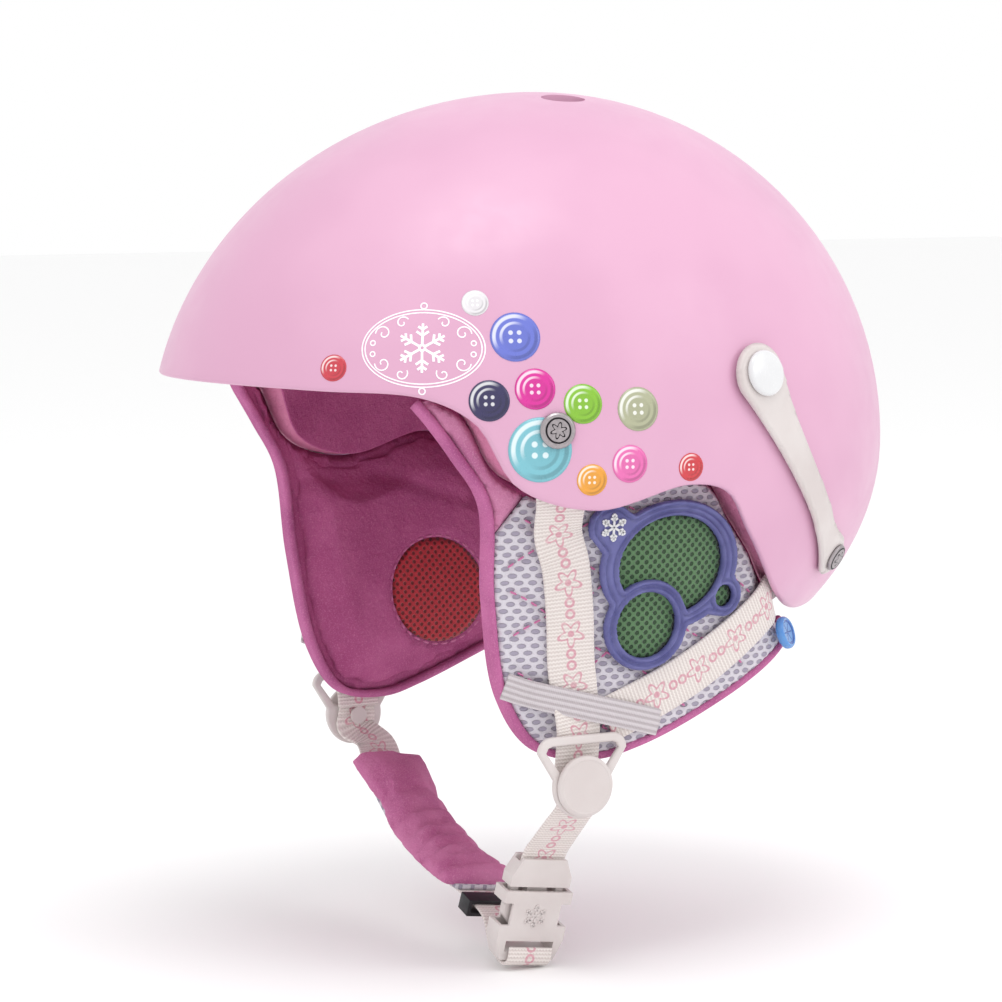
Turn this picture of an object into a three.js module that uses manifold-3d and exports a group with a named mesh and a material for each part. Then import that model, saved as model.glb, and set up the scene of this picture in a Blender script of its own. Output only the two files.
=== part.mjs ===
// A youth ski helmet: a thin hard shell on a foam liner, fleece comfort pads, two soft ear pads,
// Y straps that meet at two yokes, a padded chin strap with a side-release buckle, and two
// elastomer arms that hold a goggle strap against the back of the shell.
//
// Units are millimetres. +Z is up, -Y is the front and +X is the wearer's left.
// The origin is the middle of the head cavity, level with the widest part of the shell.

import * as THREE from 'three';
import { mergeVertices } from 'three/addons/utils/BufferGeometryUtils.js';
import Module from 'manifold-3d';

const wasm = await Module();
wasm.setup();

// ---------------------------------------------------------------- driving dimensions

// The shell is an ellipsoid whose half lengths differ to the front and rear, and up and down.
const SHELL = { side: 103, front: 136, rear: 124.5, up: 118.5, down: 93.5 };
const SHELL_THICKNESS = 2.6;
const LINER_GAP = 1;
const LINER_INSIDE = { side: 80, front: 106, rear: 99, up: 96, down: 80 };
const LINER_RIM_LIFT = 3.6;

// The height of the shell's rim along the helmet, from the brow to the nape: [y, z].
const RIM = [
  [-140, 25.5], [-110, 24], [-84, 22], [-70, 14], [-58, -6], [-33, -14], [-1, -7],
  [14, -10], [25, -24], [48, -48], [68, -56], [112, -52],
];

const RIM_STEPS = 48;
const DOME_ROWS = 8;

const VENT_X = 19;
const VENT_LENGTH = 16;
const VENT_WIDTH = 11;
const REAR_VENT = { x: 12, y: 62 };

const COMFORT_PAD_GAP = 1.3;
const COMFORT_PAD_THICKNESS = 6;

// The outer face of an ear pad: an upright elliptic surface that narrows downwards.
const PAD_HALF_WIDTH = 88;
const PAD_HALF_LENGTH = 120;
const PAD_TAPER = 0.125;
const PAD_LEVEL = -30;
const PAD_TUCK_DEPTH = 7.4;
const PAD_TUCK_HEIGHT = 16;
const PAD_TOP_LIFT = -0.4;

// Depths through an ear pad, measured outwards from its outer face.
const LINING = [-13.5, -11];
const CORE = [-10.7, -2.8];
const COVER = [-2.5, 0];
const EAR_MESH = [-13.2, -12.2];
const VENT_MESH = [0.3, 0.9];
const VENT_FRAME = [1.2, 3.9];
const BINDING_WIDTH = 12.4;
const BINDING_THICKNESS = 1.2;
const BINDING_OFFSET = 1.1;

// The free edge of an ear pad, from the temple down around the yoke to the nape: [y, z].
const PAD_EDGE = [
  [-82, 20], [-70, 3], [-61, -12], [-58, -43], [-51.5, -76], [-40, -92.5],
  [-21, -96], [-7, -93], [15.5, -84.5], [48, -69], [58, -60],
];

const EAR_HOLE = { y: 0, z: -60, r: 18.5 };

// The moulded frame round the sound vents: [y, z, outer radius, inner radius].
const VENT_LARGE = [0.7, -36.3, 21.5, 15.7];
const VENT_MEDIUM = [-8, -53.3, 15, 10.8];
const VENT_SMALL = [20.5, -46, 6.5, 3.3];
const VENT_LOBE = [-22.6, -20.6, 7.5];

const PAD_BUTTON = { y: 50, z: -62.2, r: 5.5, thickness: 2.8, depth: 2 };

const WEBBING_WIDTH = 16;
const WEBBING = 1.2;
const STRAP_GAP = 2;
const STRAP_STEPS = 16;
const WRAP_STEPS = 5;
const ELASTIC_WIDTH = 9;
const ELASTIC = 0.9;

// Rivet places on the shell: [y, z].
const FRONT_RIVET = [-46.5, 11.9];
const REAR_RIVET = [70.3, -35.7];
const RIVET_HEAD_RADIUS = 5.8;
const RIVET_SHANK_RADIUS = 2;
const RIVET_HOLE_RADIUS = 2.4;

// The goggle arm lies along the shell from the rear rivet to its head: [y, z, half width].
const ARM_LINE = [[62.6, -29.6, 5.2], [54, -19, 4.7], [40.3, -4.4, 4.9], [30, 14, 6.4], [26, 22, 8]];
const ARM_HEAD = { y: 24, z: 31, r: 10.4 };
const ARM_THICKNESS = 2.6;
const ARM_GAP = 0.4;
const FOOT_GAP = 2;
const SNAP = { y: 27, z: 27, capRadius: 7.5, studRadius: 3, socketRadius: 5 };

// The yoke: a moulded ring whose top bar holds the straps, with a round cap over the pivot pin.
const YOKE_Y = -29;
const YOKE_PIVOT_Z = -104.5;
const YOKE_BAR_Z = -89.6;
const YOKE_BAR_HALF = 1.5;
const YOKE_HALF_WIDTH = 15;
const YOKE_DEPTH = 4.1;
const YOKE_THICKNESS = 2.2;
const YOKE_CAP_RADIUS = 10;
const PIN_RADIUS = 2.4;
const PIN_HOLE_RADIUS = 2.9;

// The chin loop lies in one plane, a little tilted: its origin, its direction to the left, and
// its direction downwards.
const LOOP_ORIGIN = new THREE.Vector3(1.5, -26.5, -110);
const LOOP_LEFT = new THREE.Vector3(0.9995, -0.0321, 0).normalize();
const LOOP_TILT = 0.12;

// Routes in the chin loop's plane: [to the left, downwards].
const LEFT_ROUTE = [[71.5, 8], [64, 15.5], [60.2, 19.5]];
const RIGHT_ROUTE = [[-75, 5.4], [-66, 11.5], [-50, 21.5], [-30, 31.6], [-6, 38], [18, 41.2], [36, 46.2]];

const BUCKLE_CENTRE = [55.4, 32.5];
const BUCKLE = { width: 24.6, thickness: 8.4, wall: 1.3, depth: 15.5, length: 24 };
// The right strap's way round the housing's end bar, in the buckle's frame: [outwards, up].
const BAR_ROUTE = [[-8, -24], [-2.5, -25.4], [3.2, -25.6], [5.8, -23.4], [5.6, -19]];
const PLUG = { width: 22, thickness: 6.6, height: 11 };
const PRONG = { offset: 8.2, width: 2.8, thickness: 3.2, length: 12.5, root: 0.7 };

const KEEPER = { along: 0.3, halfWidth: 10.6, thickness: 1.4, length: 7 };
const CHIN_PAD_WIDTH = 26;
const CHIN_FLEECE = [4.1, 8.6];
const CHIN_COVER = [0.9, 3.8];

// ---------------------------------------------------------------- colours

function finish(color, roughness, metalness = 0) {
  return new THREE.MeshStandardMaterial({ color, roughness, metalness });
}

const PINK_SHELL = finish(0xf2b6dc, 0.42);
const WHITE_FOAM = finish(0xf1eef0, 0.9);
const FLEECE = finish(0xb0568e, 0.95);
const MESH_CLOTH = finish(0xd9dbe6, 0.9);
const PINK_TRIM = finish(0xd06aa6, 0.8);
const BLUE_RUBBER = finish(0x5a61b5, 0.5);
const GREEN_MESH = finish(0x2f7d45, 0.7);
const RED_MESH = finish(0xc4323c, 0.7);
const ELASTIC_CLOTH = finish(0xdadce2, 0.85);
const CREAM_WEBBING = finish(0xf3ebe6, 0.85);
const IVORY = finish(0xf1ede2, 0.38);
const WHITE_GLOSS = finish(0xfafafa, 0.15);
const STEEL = finish(0x6f6a68, 0.3, 1);
const BLUE_GLOSS = finish(0x2f86b8, 0.12);
const BLACK_RUBBER = finish(0x202022, 0.6);

// ---------------------------------------------------------------- solids and meshes

function solidOf(geometry) {
  const bare = geometry.clone();
  bare.deleteAttribute('normal');
  bare.deleteAttribute('uv');
  const merged = mergeVertices(bare, 1e-4);
  return new wasm.Manifold(new wasm.Mesh({
    numProp: 3,
    vertProperties: new Float32Array(merged.attributes.position.array),
    triVerts: new Uint32Array(merged.index.array),
  }));
}

function geometryOf(solid) {
  const mesh = solid.getMesh();
  const geometry = new THREE.BufferGeometry();
  geometry.setAttribute('position', new THREE.BufferAttribute(mesh.vertProperties.slice(), 3));
  geometry.setIndex(new THREE.BufferAttribute(mesh.triVerts.slice(), 1));
  return geometry;
}

function mirrored(geometry) {
  return flipped(geometry.clone().scale(-1, 1, 1));
}

const helmet = new THREE.Group();

function addMesh(name, geometry, material) {
  const mesh = new THREE.Mesh(geometry, material);
  mesh.name = name;
  helmet.add(mesh);
}

function addPiece(name, solid, material) {
  addMesh(name, geometryOf(solid), material);
}

function addPair(name, solid, material) {
  const left = geometryOf(solid);
  addMesh(`${name}_left`, left, material);
  addMesh(`${name}_right`, mirrored(left), material);
}

// A closed slab between two faces. place(a, b, c) gives its points: a is 0 on one face and 1 on
// the other, and b and c run from 0 to 1 across them. Both faces are split along the same
// diagonals, so slabs that lie face to face stay an even distance apart.
function slab(place, stepsB, stepsC) {
  const vertices = [];
  const triangles = [];
  for (const a of [0, 1]) {
    for (let i = 0; i <= stepsB; i += 1) {
      for (let j = 0; j <= stepsC; j += 1) vertices.push(place(a, i / stepsB, j / stepsC));
    }
  }
  const at = (a, i, j) => (a * (stepsB + 1) + i) * (stepsC + 1) + j;
  const quad = (p, q, r, s) => triangles.push(p, q, r, p, r, s);
  for (let i = 0; i < stepsB; i += 1) {
    for (let j = 0; j < stepsC; j += 1) {
      quad(at(1, i, j), at(1, i + 1, j), at(1, i + 1, j + 1), at(1, i, j + 1));
      triangles.push(at(0, i, j), at(0, i + 1, j + 1), at(0, i + 1, j));
      triangles.push(at(0, i, j), at(0, i, j + 1), at(0, i + 1, j + 1));
    }
    quad(at(0, i, 0), at(0, i + 1, 0), at(1, i + 1, 0), at(1, i, 0));
    quad(at(1, i, stepsC), at(1, i + 1, stepsC), at(0, i + 1, stepsC), at(0, i, stepsC));
  }
  for (let j = 0; j < stepsC; j += 1) {
    quad(at(1, 0, j), at(1, 0, j + 1), at(0, 0, j + 1), at(0, 0, j));
    quad(at(0, stepsB, j), at(0, stepsB, j + 1), at(1, stepsB, j + 1), at(1, stepsB, j));
  }
  const geometry = new THREE.BufferGeometry().setFromPoints(vertices);
  geometry.setIndex(triangles);
  return facingOut(geometry);
}

// The solid of a closed geometry, turned inside out first if its faces point inwards.
function facingOut(geometry) {
  const solid = solidOf(geometry);
  return solid.volume() < 0 ? solidOf(flipped(geometry)) : solid;
}

function flipped(geometry) {
  const copy = mergeVertices(geometry);
  const index = copy.index.array;
  for (let i = 0; i < index.length; i += 3) {
    [index[i], index[i + 1]] = [index[i + 1], index[i]];
  }
  return copy;
}

function lerp(a, b, t) {
  return a + (b - a) * t;
}

function smoothstep(low, high, value) {
  const t = Math.min(1, Math.max(0, (value - low) / (high - low)));
  return t * t * (3 - 2 * t);
}

// A strip of constant thickness along a list of centres. acrossAt(i) gives the unit direction of
// the strip's width at the i-th centre, and halfWidthAt(i) its half width.
function strip(centres, acrossAt, halfWidthAt, thickness) {
  const last = centres.length - 1;
  const frames = centres.map((centre, i) => {
    const before = centres[Math.max(0, i - 1)];
    const after = centres[Math.min(last, i + 1)];
    const along = after.clone().sub(before).normalize();
    const across = acrossAt(i).clone();
    across.addScaledVector(along, -across.dot(along)).normalize();
    return { centre, across, normal: along.clone().cross(across).normalize() };
  });
  return slab((a, b, c) => {
    const i = Math.round(b * last);
    const { centre, across, normal } = frames[i];
    return centre.clone()
      .addScaledVector(across, (c - 0.5) * 2 * halfWidthAt(i))
      .addScaledVector(normal, (a - 0.5) * thickness);
  }, last, 1);
}

// A turned piece: a profile of [radius, height] pairs about the local Z axis.
function turned(profile, matrix, steps = 12) {
  const points = profile.map(([radius, height]) => new THREE.Vector2(radius, height));
  const geometry = new THREE.LatheGeometry(points, steps);
  geometry.rotateX(Math.PI / 2);
  geometry.applyMatrix4(matrix);
  geometry.deleteAttribute('normal');
  geometry.deleteAttribute('uv');
  return facingOut(geometry);
}

function cylinder(radius, low, high, matrix, steps = 16) {
  return turned([[0, low], [radius, low], [radius, high], [0, high]], matrix, steps);
}

// An outline in the (y, z) plane, swept along X from low to high.
function prism(shape, low, high, curveSegments = 7) {
  const geometry = new THREE.ExtrudeGeometry(shape, {
    depth: high - low, bevelEnabled: false, curveSegments,
  });
  geometry.applyMatrix4(new THREE.Matrix4().makeBasis(
    new THREE.Vector3(0, 1, 0), new THREE.Vector3(0, 0, 1), new THREE.Vector3(1, 0, 0)));
  geometry.translate(low, 0, 0);
  return solidOf(geometry);
}

function discShape(y, z, radius) {
  return new THREE.Shape().absarc(y, z, radius, 0, Math.PI * 2, false);
}

function pinPrism(y, z, radius, low, high) {
  return prism(discShape(y, z, radius), low, high);
}

// ---------------------------------------------------------------- the rim and the dome

const rimCurve = new THREE.CatmullRomCurve3(RIM.map(([y, z]) => new THREE.Vector3(y, 0, z)));
const rimPoints = rimCurve.getPoints(400);

function rimHeight(y) {
  if (y <= rimPoints[0].x) return rimPoints[0].z;
  const next = rimPoints.findIndex((point) => point.x >= y);
  if (next < 0) return rimPoints[rimPoints.length - 1].z;
  const before = rimPoints[next - 1];
  const after = rimPoints[next];
  return lerp(before.z, after.z, (y - before.x) / (after.x - before.x));
}

function inset(form, gap) {
  return {
    side: form.side - gap, front: form.front - gap, rear: form.rear - gap,
    up: form.up - gap, down: form.down - gap,
  };
}

// turn runs from 0 at the front, through the wearer's left, to 2 pi; lift is the angle upwards.
function domePoint(form, turn, lift) {
  const forward = Math.cos(turn);
  const length = forward > 0 ? form.front : form.rear;
  const height = Math.sin(lift) > 0 ? form.up : form.down;
  return new THREE.Vector3(
    form.side * Math.cos(lift) * Math.sin(turn),
    -length * Math.cos(lift) * forward,
    height * Math.sin(lift));
}

// The lift at which the dome meets the rim line, raised by riseAbove.
function rimLift(form, turn, riseAbove) {
  let low = -1.3;
  let high = 1.3;
  for (let i = 0; i < 40; i += 1) {
    const middle = (low + high) / 2;
    const point = domePoint(form, turn, middle);
    if (point.z > rimHeight(point.y) + riseAbove) high = middle;
    else low = middle;
  }
  return (low + high) / 2;
}

// Turns round the dome that are evenly spaced along its rim.
function rimTurns(form, count) {
  const samples = 720;
  const lengths = [0];
  let before = domePoint(form, 0, rimLift(form, 0, 0));
  for (let i = 1; i <= samples; i += 1) {
    const turn = (i / samples) * Math.PI * 2;
    const point = domePoint(form, turn, rimLift(form, turn, 0));
    lengths.push(lengths[i - 1] + point.distanceTo(before));
    before = point;
  }
  const turns = [];
  for (let i = 0; i < count; i += 1) {
    const target = (i / count) * lengths[samples];
    const next = lengths.findIndex((length) => length > target);
    const part = (target - lengths[next - 1]) / (lengths[next] - lengths[next - 1]);
    turns.push(((next - 1 + part) / samples) * Math.PI * 2);
  }
  return turns;
}

// A hollow dome between two forms, closed along its rim.
function domeSolid(outer, inner, riseAbove) {
  const turns = rimTurns(SHELL, RIM_STEPS);
  const vertices = [];
  const triangles = [];
  const ring = RIM_STEPS;
  const addSurface = (form) => {
    const start = vertices.length;
    for (let row = 0; row < DOME_ROWS; row += 1) {
      for (const turn of turns) {
        const lift = lerp(rimLift(form, turn, riseAbove), Math.PI / 2, row / DOME_ROWS);
        vertices.push(domePoint(form, turn, lift));
      }
    }
    vertices.push(new THREE.Vector3(0, 0, form.up));
    return start;
  };
  const outerStart = addSurface(outer);
  const innerStart = addSurface(inner);
  for (let i = 0; i < ring; i += 1) {
    const j = (i + 1) % ring;
    const quad = i < ring / 2
      ? (a, b, c, d) => triangles.push(a, b, c, a, c, d)
      : (a, b, c, d) => triangles.push(a, b, d, b, c, d);
    for (let row = 0; row < DOME_ROWS - 1; row += 1) {
      const o = outerStart + row * ring;
      const n = innerStart + row * ring;
      quad(o + i, o + j, o + ring + j, o + ring + i);
      quad(n + i, n + ring + i, n + ring + j, n + j);
    }
    const top = (DOME_ROWS - 1) * ring;
    triangles.push(outerStart + top + i, outerStart + top + j, outerStart + DOME_ROWS * ring);
    triangles.push(innerStart + top + j, innerStart + top + i, innerStart + DOME_ROWS * ring);
    quad(outerStart + j, outerStart + i, innerStart + i, innerStart + j);
  }
  const geometry = new THREE.BufferGeometry().setFromPoints(vertices);
  geometry.setIndex(triangles);
  return facingOut(geometry);
}

// The point of the dome's left side at (y, z), its outward normal, and a frame whose Z is normal.
function onDome(form, y, z) {
  const length = y < 0 ? form.front : form.rear;
  const height = z > 0 ? form.up : form.down;
  const x = form.side * Math.sqrt(Math.max(0.01, 1 - (y / length) ** 2 - (z / height) ** 2));
  const normal = new THREE.Vector3(x / form.side ** 2, y / length ** 2, z / height ** 2).normalize();
  return { point: new THREE.Vector3(x, y, z), normal };
}

function frameAlong(point, normal) {
  const across = new THREE.Vector3(0, 0, 1).cross(normal).normalize();
  const up = normal.clone().cross(across);
  return new THREE.Matrix4().makeBasis(across, up, normal).setPosition(point);
}

function domeFrame(y, z) {
  const { point, normal } = onDome(SHELL, y, z);
  return frameAlong(point, normal);
}

function ventHoles() {
  const holes = [];
  for (const side of [-1, 1]) {
    for (const [x, y] of [[VENT_X, 0], [REAR_VENT.x, REAR_VENT.y]]) {
      const geometry = new THREE.CylinderGeometry(1, 1, SHELL.up, 12);
      geometry.rotateX(Math.PI / 2);
      geometry.scale(VENT_WIDTH / 2, VENT_LENGTH / 2, 1);
      geometry.translate(side * x, y, SHELL.up);
      holes.push(solidOf(geometry));
    }
  }
  return holes;
}

// ---------------------------------------------------------------- the ear pad's surface

function padFace(y, z) {
  const half = PAD_HALF_WIDTH + PAD_TAPER * (z - PAD_LEVEL);
  const length = PAD_HALF_LENGTH * half / PAD_HALF_WIDTH;
  const free = half * Math.sqrt(Math.max(0.05, 1 - (y / length) ** 2));
  const rim = rimHeight(y);
  const tucked = onDome(inset(SHELL, PAD_TUCK_DEPTH), y, Math.max(z, rim)).point.x;
  const weight = smoothstep(rim - PAD_TUCK_HEIGHT, rim, z);
  return lerp(free, Math.min(free, tucked), weight);
}

function onPad(y, z, depth) {
  return new THREE.Vector3(padFace(y, z) + depth, y, z);
}

function padNormal(y, z) {
  const step = 0.5;
  const slopeY = (padFace(y + step, z) - padFace(y - step, z)) / (2 * step);
  const slopeZ = (padFace(y, z + step) - padFace(y, z - step)) / (2 * step);
  return new THREE.Vector3(1, -slopeY, -slopeZ).normalize();
}

const PAD_GRID = { yLow: -88, yHigh: 64, zLow: -101, aboveRim: 3, ySteps: 9, zSteps: 7 };

// A layer of the ear pad over its whole grid. The rows follow the rim and lie closest near it.
function padLayer([low, high]) {
  const { yLow, yHigh, zLow, aboveRim, ySteps, zSteps } = PAD_GRID;
  return slab((a, b, c) => {
    const y = lerp(yLow, yHigh, b);
    const z = lerp(rimHeight(y) + aboveRim, zLow, (1 - c) ** 1.6);
    return onPad(y, z, lerp(low, high, a));
  }, ySteps, zSteps);
}

const padEdge = new THREE.CatmullRomCurve3(PAD_EDGE.map(([y, z]) => new THREE.Vector3(0, y, z)));
const EDGE_STEPS = 22;
const TOP_STEPS = 12;

function padOutline() {
  const points = padEdge.getPoints(EDGE_STEPS).map((p) => new THREE.Vector2(p.y, p.z));
  const rear = points[points.length - 1].x;
  const front = points[0].x;
  for (let i = 0; i <= TOP_STEPS; i += 1) {
    const y = lerp(rear, front, i / TOP_STEPS);
    points.push(new THREE.Vector2(y, rimHeight(y) + PAD_TOP_LIFT));
  }
  return new THREE.Shape(points);
}

// ---------------------------------------------------------------- shell, liner and comfort pads

const FAR = 160;
const SHELL_INSIDE = inset(SHELL, SHELL_THICKNESS);

function strapRun(route, steps) {
  const curve = new THREE.CatmullRomCurve3(route.map((p) => new THREE.Vector3(...p)));
  return curve.getPoints(steps);
}

// A strap's centre line: inside the shell it hugs the shell, and outside it lies on the ear pad.
// Each route point is [y, z, depth], with depth from the ear pad's face or 'shell'.
function strapCentres(route, steps) {
  const places = route.map(([y, z, depth]) => {
    if (depth !== 'shell') return onPad(y, z, depth);
    const gap = STRAP_GAP + WEBBING / 2;
    return onDome(inset(SHELL_INSIDE, gap), y, z).point;
  });
  return strapRun(places.map((p) => p.toArray()), steps);
}

const FRONT_STRAP_ROUTE = [
  [-48.5, 18, 'shell'], [-46.5, 11.9, 'shell'], [-44.5, 0, 'shell'], [-42.6, -11, 'shell'],
  [-40.2, -22, 2], [-36.5, -33, 1], [-34, -50, 1], [-32.8, -64, 1.1], [-31.5, -73, 2.9],
  [-30, -82, 4.8], [-29.2, -86.5, 6.4], [-29, -90, 6.45],
];
const REAR_STRAP_ROUTE = [
  [76, -34, 'shell'], [70.3, -35.7, 'shell'], [58, -41.5, 'shell'], [50, -45.5, 'shell'],
  [42, -51, 3], [30, -59, 2], [15, -68.5, 1.2], [0, -76, 1], [-14, -82.2, 1],
];

function acrossStrap(centres) {
  return (i) => {
    const before = centres[Math.max(0, i - 1)];
    const after = centres[Math.min(centres.length - 1, i + 1)];
    const along = after.clone().sub(before).normalize();
    const { y, z } = centres[i];
    const normal = z > rimHeight(y) ? onDome(SHELL, y, z).normal : padNormal(y, z);
    return along.cross(normal).normalize();
  };
}

function frontStrapCentres() {
  const centres = strapCentres(FRONT_STRAP_ROUTE, STRAP_STEPS);
  const bar = onPad(YOKE_Y, YOKE_BAR_Z, YOKE_DEPTH);
  const radius = YOKE_THICKNESS / 2 + 0.65 + WEBBING / 2;
  const drop = YOKE_BAR_HALF - YOKE_THICKNESS / 2;
  for (let i = 1; i <= WRAP_STEPS; i += 1) {
    const angle = (i / WRAP_STEPS) * Math.PI;
    centres.push(new THREE.Vector3(
      bar.x + radius * Math.cos(angle), YOKE_Y, bar.z - drop - radius * Math.sin(angle)));
  }
  return centres;
}

function strapSolid(centres, across, extraWidth = 0, extraThickness = 0) {
  const half = (WEBBING_WIDTH + extraWidth) / 2;
  return strip(centres, across, () => half, WEBBING + extraThickness);
}

function rivetHole(place, radius, low, high) {
  return cylinder(radius, low, high, domeFrame(...place), 12);
}

function shellAndLiner() {
  let shell = domeSolid(SHELL, SHELL_INSIDE, 0);
  let liner = domeSolid(inset(SHELL_INSIDE, LINER_GAP), LINER_INSIDE, LINER_RIM_LIFT);
  for (const hole of ventHoles()) {
    shell = shell.subtract(hole);
    liner = liner.subtract(hole);
  }
  const channels = [];
  for (const route of [FRONT_STRAP_ROUTE, REAR_STRAP_ROUTE]) {
    const centres = strapCentres(route, STRAP_STEPS).slice(0, STRAP_STEPS / 2);
    channels.push(strapSolid(centres, acrossStrap(centres), 2, 2.2));
  }
  for (const place of [FRONT_RIVET, REAR_RIVET]) {
    channels.push(rivetHole(place, 8, -10, -SHELL_THICKNESS));
    const hole = rivetHole(place, RIVET_HOLE_RADIUS, -10, 5);
    shell = shell.subtract(hole).subtract(solidOf(mirrored(geometryOf(hole))));
  }
  for (const channel of channels) {
    liner = liner.subtract(channel).subtract(solidOf(mirrored(geometryOf(channel))));
  }
  addPiece('outer_shell', shell, PINK_SHELL);
  addPiece('eps_liner', liner, WHITE_FOAM);
}

// A comfort pad on the liner's inner face, over a range of turns and lifts in degrees.
function comfortPad([turnLow, turnHigh], [liftLow, liftHigh], turnSteps, liftSteps) {
  const degrees = Math.PI / 180;
  return slab((a, b, c) => {
    const form = inset(LINER_INSIDE, COMFORT_PAD_GAP + a * COMFORT_PAD_THICKNESS);
    return domePoint(form, lerp(turnLow, turnHigh, b) * degrees, lerp(liftLow, liftHigh, c) * degrees);
  }, turnSteps, liftSteps);
}

function comfortPads() {
  addPiece('brow_pad', comfortPad([-40, 40], [19, 33], 12, 2), FLEECE);
  addPiece('rear_pad', comfortPad([138, 222], [-14, 12], 12, 3), FLEECE);
  addPair('temple_pad', comfortPad([48, 82], [16, 38], 5, 3), FLEECE);
  const halfWidth = 10;
  const crown = slab((a, b, c) => {
    const form = inset(LINER_INSIDE, COMFORT_PAD_GAP + a * COMFORT_PAD_THICKNESS);
    const x = lerp(-halfWidth, halfWidth, b);
    const y = lerp(-48, 50, c);
    const length = y < 0 ? form.front : form.rear;
    const z = form.up * Math.sqrt(1 - (x / form.side) ** 2 - (y / length) ** 2);
    return new THREE.Vector3(x, y, z);
  }, 2, 10);
  addPiece('crown_pad', crown, FLEECE);
}

// ---------------------------------------------------------------- ear pads

function ventFrame() {
  const disc = ([y, z, radius]) => pinPrism(y, z, radius, 0, FAR);
  const hole = ([y, z, , radius]) => pinPrism(y, z, radius, 0, FAR);
  const body = disc(VENT_LARGE).add(disc(VENT_MEDIUM)).add(disc(VENT_SMALL)).add(disc(VENT_LOBE));
  const largeHole = hole(VENT_LARGE).subtract(disc(VENT_MEDIUM));
  const outline = body.subtract(largeHole).subtract(hole(VENT_MEDIUM)).subtract(hole(VENT_SMALL));
  return padLayer(VENT_FRAME).intersect(outline);
}

function ventMesh() {
  const middle = ([y, z, outer, inner]) => pinPrism(y, z, (outer + inner) / 2, 0, FAR);
  const outline = middle(VENT_LARGE).add(middle(VENT_MEDIUM)).add(middle(VENT_SMALL));
  return padLayer(VENT_MESH).intersect(outline);
}

function binding() {
  const middleDepth = (LINING[0] + COVER[1]) / 2;
  const edge = padEdge.getPoints(EDGE_STEPS);
  const centres = edge.slice(1, -1).map((point, i) => {
    const along = edge[i + 2].clone().sub(edge[i]).normalize();
    const y = point.y + along.z * BINDING_OFFSET;
    const z = point.z - along.y * BINDING_OFFSET;
    return new THREE.Vector3(padFace(point.y, point.z) + middleDepth, y, z);
  });
  const across = new THREE.Vector3(1, 0, 0);
  return strip(centres, () => across, () => BINDING_WIDTH / 2, BINDING_THICKNESS);
}

const ELASTIC_ROUTE = [
  [-50.5, -73, 0.9], [-45.5, -74.2, 4.4], [-41.5, -75.4, 7.2], [-33, -77.6, 7.4],
  [-25, -79.7, 7.3], [-20, -81, 5.8], [-8, -84.2, 3], [-1, -86, 2.2],
];

function elasticBand() {
  const centres = ELASTIC_ROUTE.map(([y, z, depth]) => onPad(y, z, depth));
  return strip(centres, acrossStrap(centres), () => ELASTIC_WIDTH / 2, ELASTIC);
}

function padButton() {
  const { y, z, r, thickness, depth } = PAD_BUTTON;
  const frame = frameAlong(onPad(y, z, 0), padNormal(y, z));
  const low = depth;
  const high = low + thickness;
  return turned([[0, low], [r, low], [r, high], [r - 1, high + 0.4], [r - 1.8, high - 0.4],
    [0, high - 0.4]], frame);
}

function earPads() {
  const outline = prism(padOutline(), 0, FAR);
  const earHole = pinPrism(EAR_HOLE.y, EAR_HOLE.z, EAR_HOLE.r, 0, FAR);
  addPair('ear_pad_lining', padLayer(LINING).intersect(outline).subtract(earHole), FLEECE);
  addPair('ear_pad_core', padLayer(CORE).intersect(outline).subtract(earHole), WHITE_FOAM);
  addPair('ear_pad_cover', padLayer(COVER).intersect(outline), MESH_CLOTH);
  addPair('ear_pad_binding', binding(), PINK_TRIM);
  const earDisc = pinPrism(EAR_HOLE.y, EAR_HOLE.z, EAR_HOLE.r - 0.4, 0, FAR);
  addPair('ear_mesh', padLayer(EAR_MESH).intersect(earDisc), RED_MESH);
  addPair('vent_mesh', ventMesh(), GREEN_MESH);
  addPair('vent_frame', ventFrame(), BLUE_RUBBER);
  addPair('elastic_band', elasticBand(), ELASTIC_CLOTH);
  addPair('pad_button', padButton(), BLUE_GLOSS);
}

// ---------------------------------------------------------------- straps, rivets and yokes

function yStraps() {
  const front = frontStrapCentres();
  const frontAcross = acrossStrap(front);
  const straight = new THREE.Vector3(0, -1, 0);
  const across = (i) => {
    const onBar = i > STRAP_STEPS ? 1 : smoothstep(-70, -84, front[i].z);
    const side = frontAcross(i);
    if (side.y > 0) side.negate();
    return side.lerp(straight, onBar).normalize();
  };
  const rear = strapCentres(REAR_STRAP_ROUTE, STRAP_STEPS);
  addPair('front_strap', strapSolid(front, across).subtract(rivetHole(FRONT_RIVET, 2.4, -9, 5)),
    CREAM_WEBBING);
  addPair('rear_strap', strapSolid(rear, acrossStrap(rear)).subtract(rivetHole(REAR_RIVET, 2.4, -9, 5)),
    CREAM_WEBBING);
}

const RIVET_TAIL = -7.7;
const WASHER = { inner: 2.4, outer: 6, low: -7.4, high: -6.3 };

function rivet(place, seat) {
  const head = RIVET_HEAD_RADIUS;
  return turned([
    [0, RIVET_TAIL], [RIVET_SHANK_RADIUS, RIVET_TAIL], [RIVET_SHANK_RADIUS, seat], [head, seat],
    [head, seat + 0.7], [head * 0.8, seat + 1.6], [head * 0.4, seat + 2.2], [0, seat + 2.4],
  ], domeFrame(...place));
}

function washer(place) {
  const { inner, outer, low, high } = WASHER;
  return turned([[inner, low], [outer, low], [outer, high], [inner, high], [inner, low]],
    domeFrame(...place));
}

function rivets() {
  addPair('front_rivet', rivet(FRONT_RIVET, 0.35), STEEL);
  addPair('rear_rivet', rivet(REAR_RIVET, ARM_GAP + 2 + 0.3), STEEL);
  addPair('front_washer', washer(FRONT_RIVET), STEEL);
  addPair('rear_washer', washer(REAR_RIVET), STEEL);
}

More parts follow.
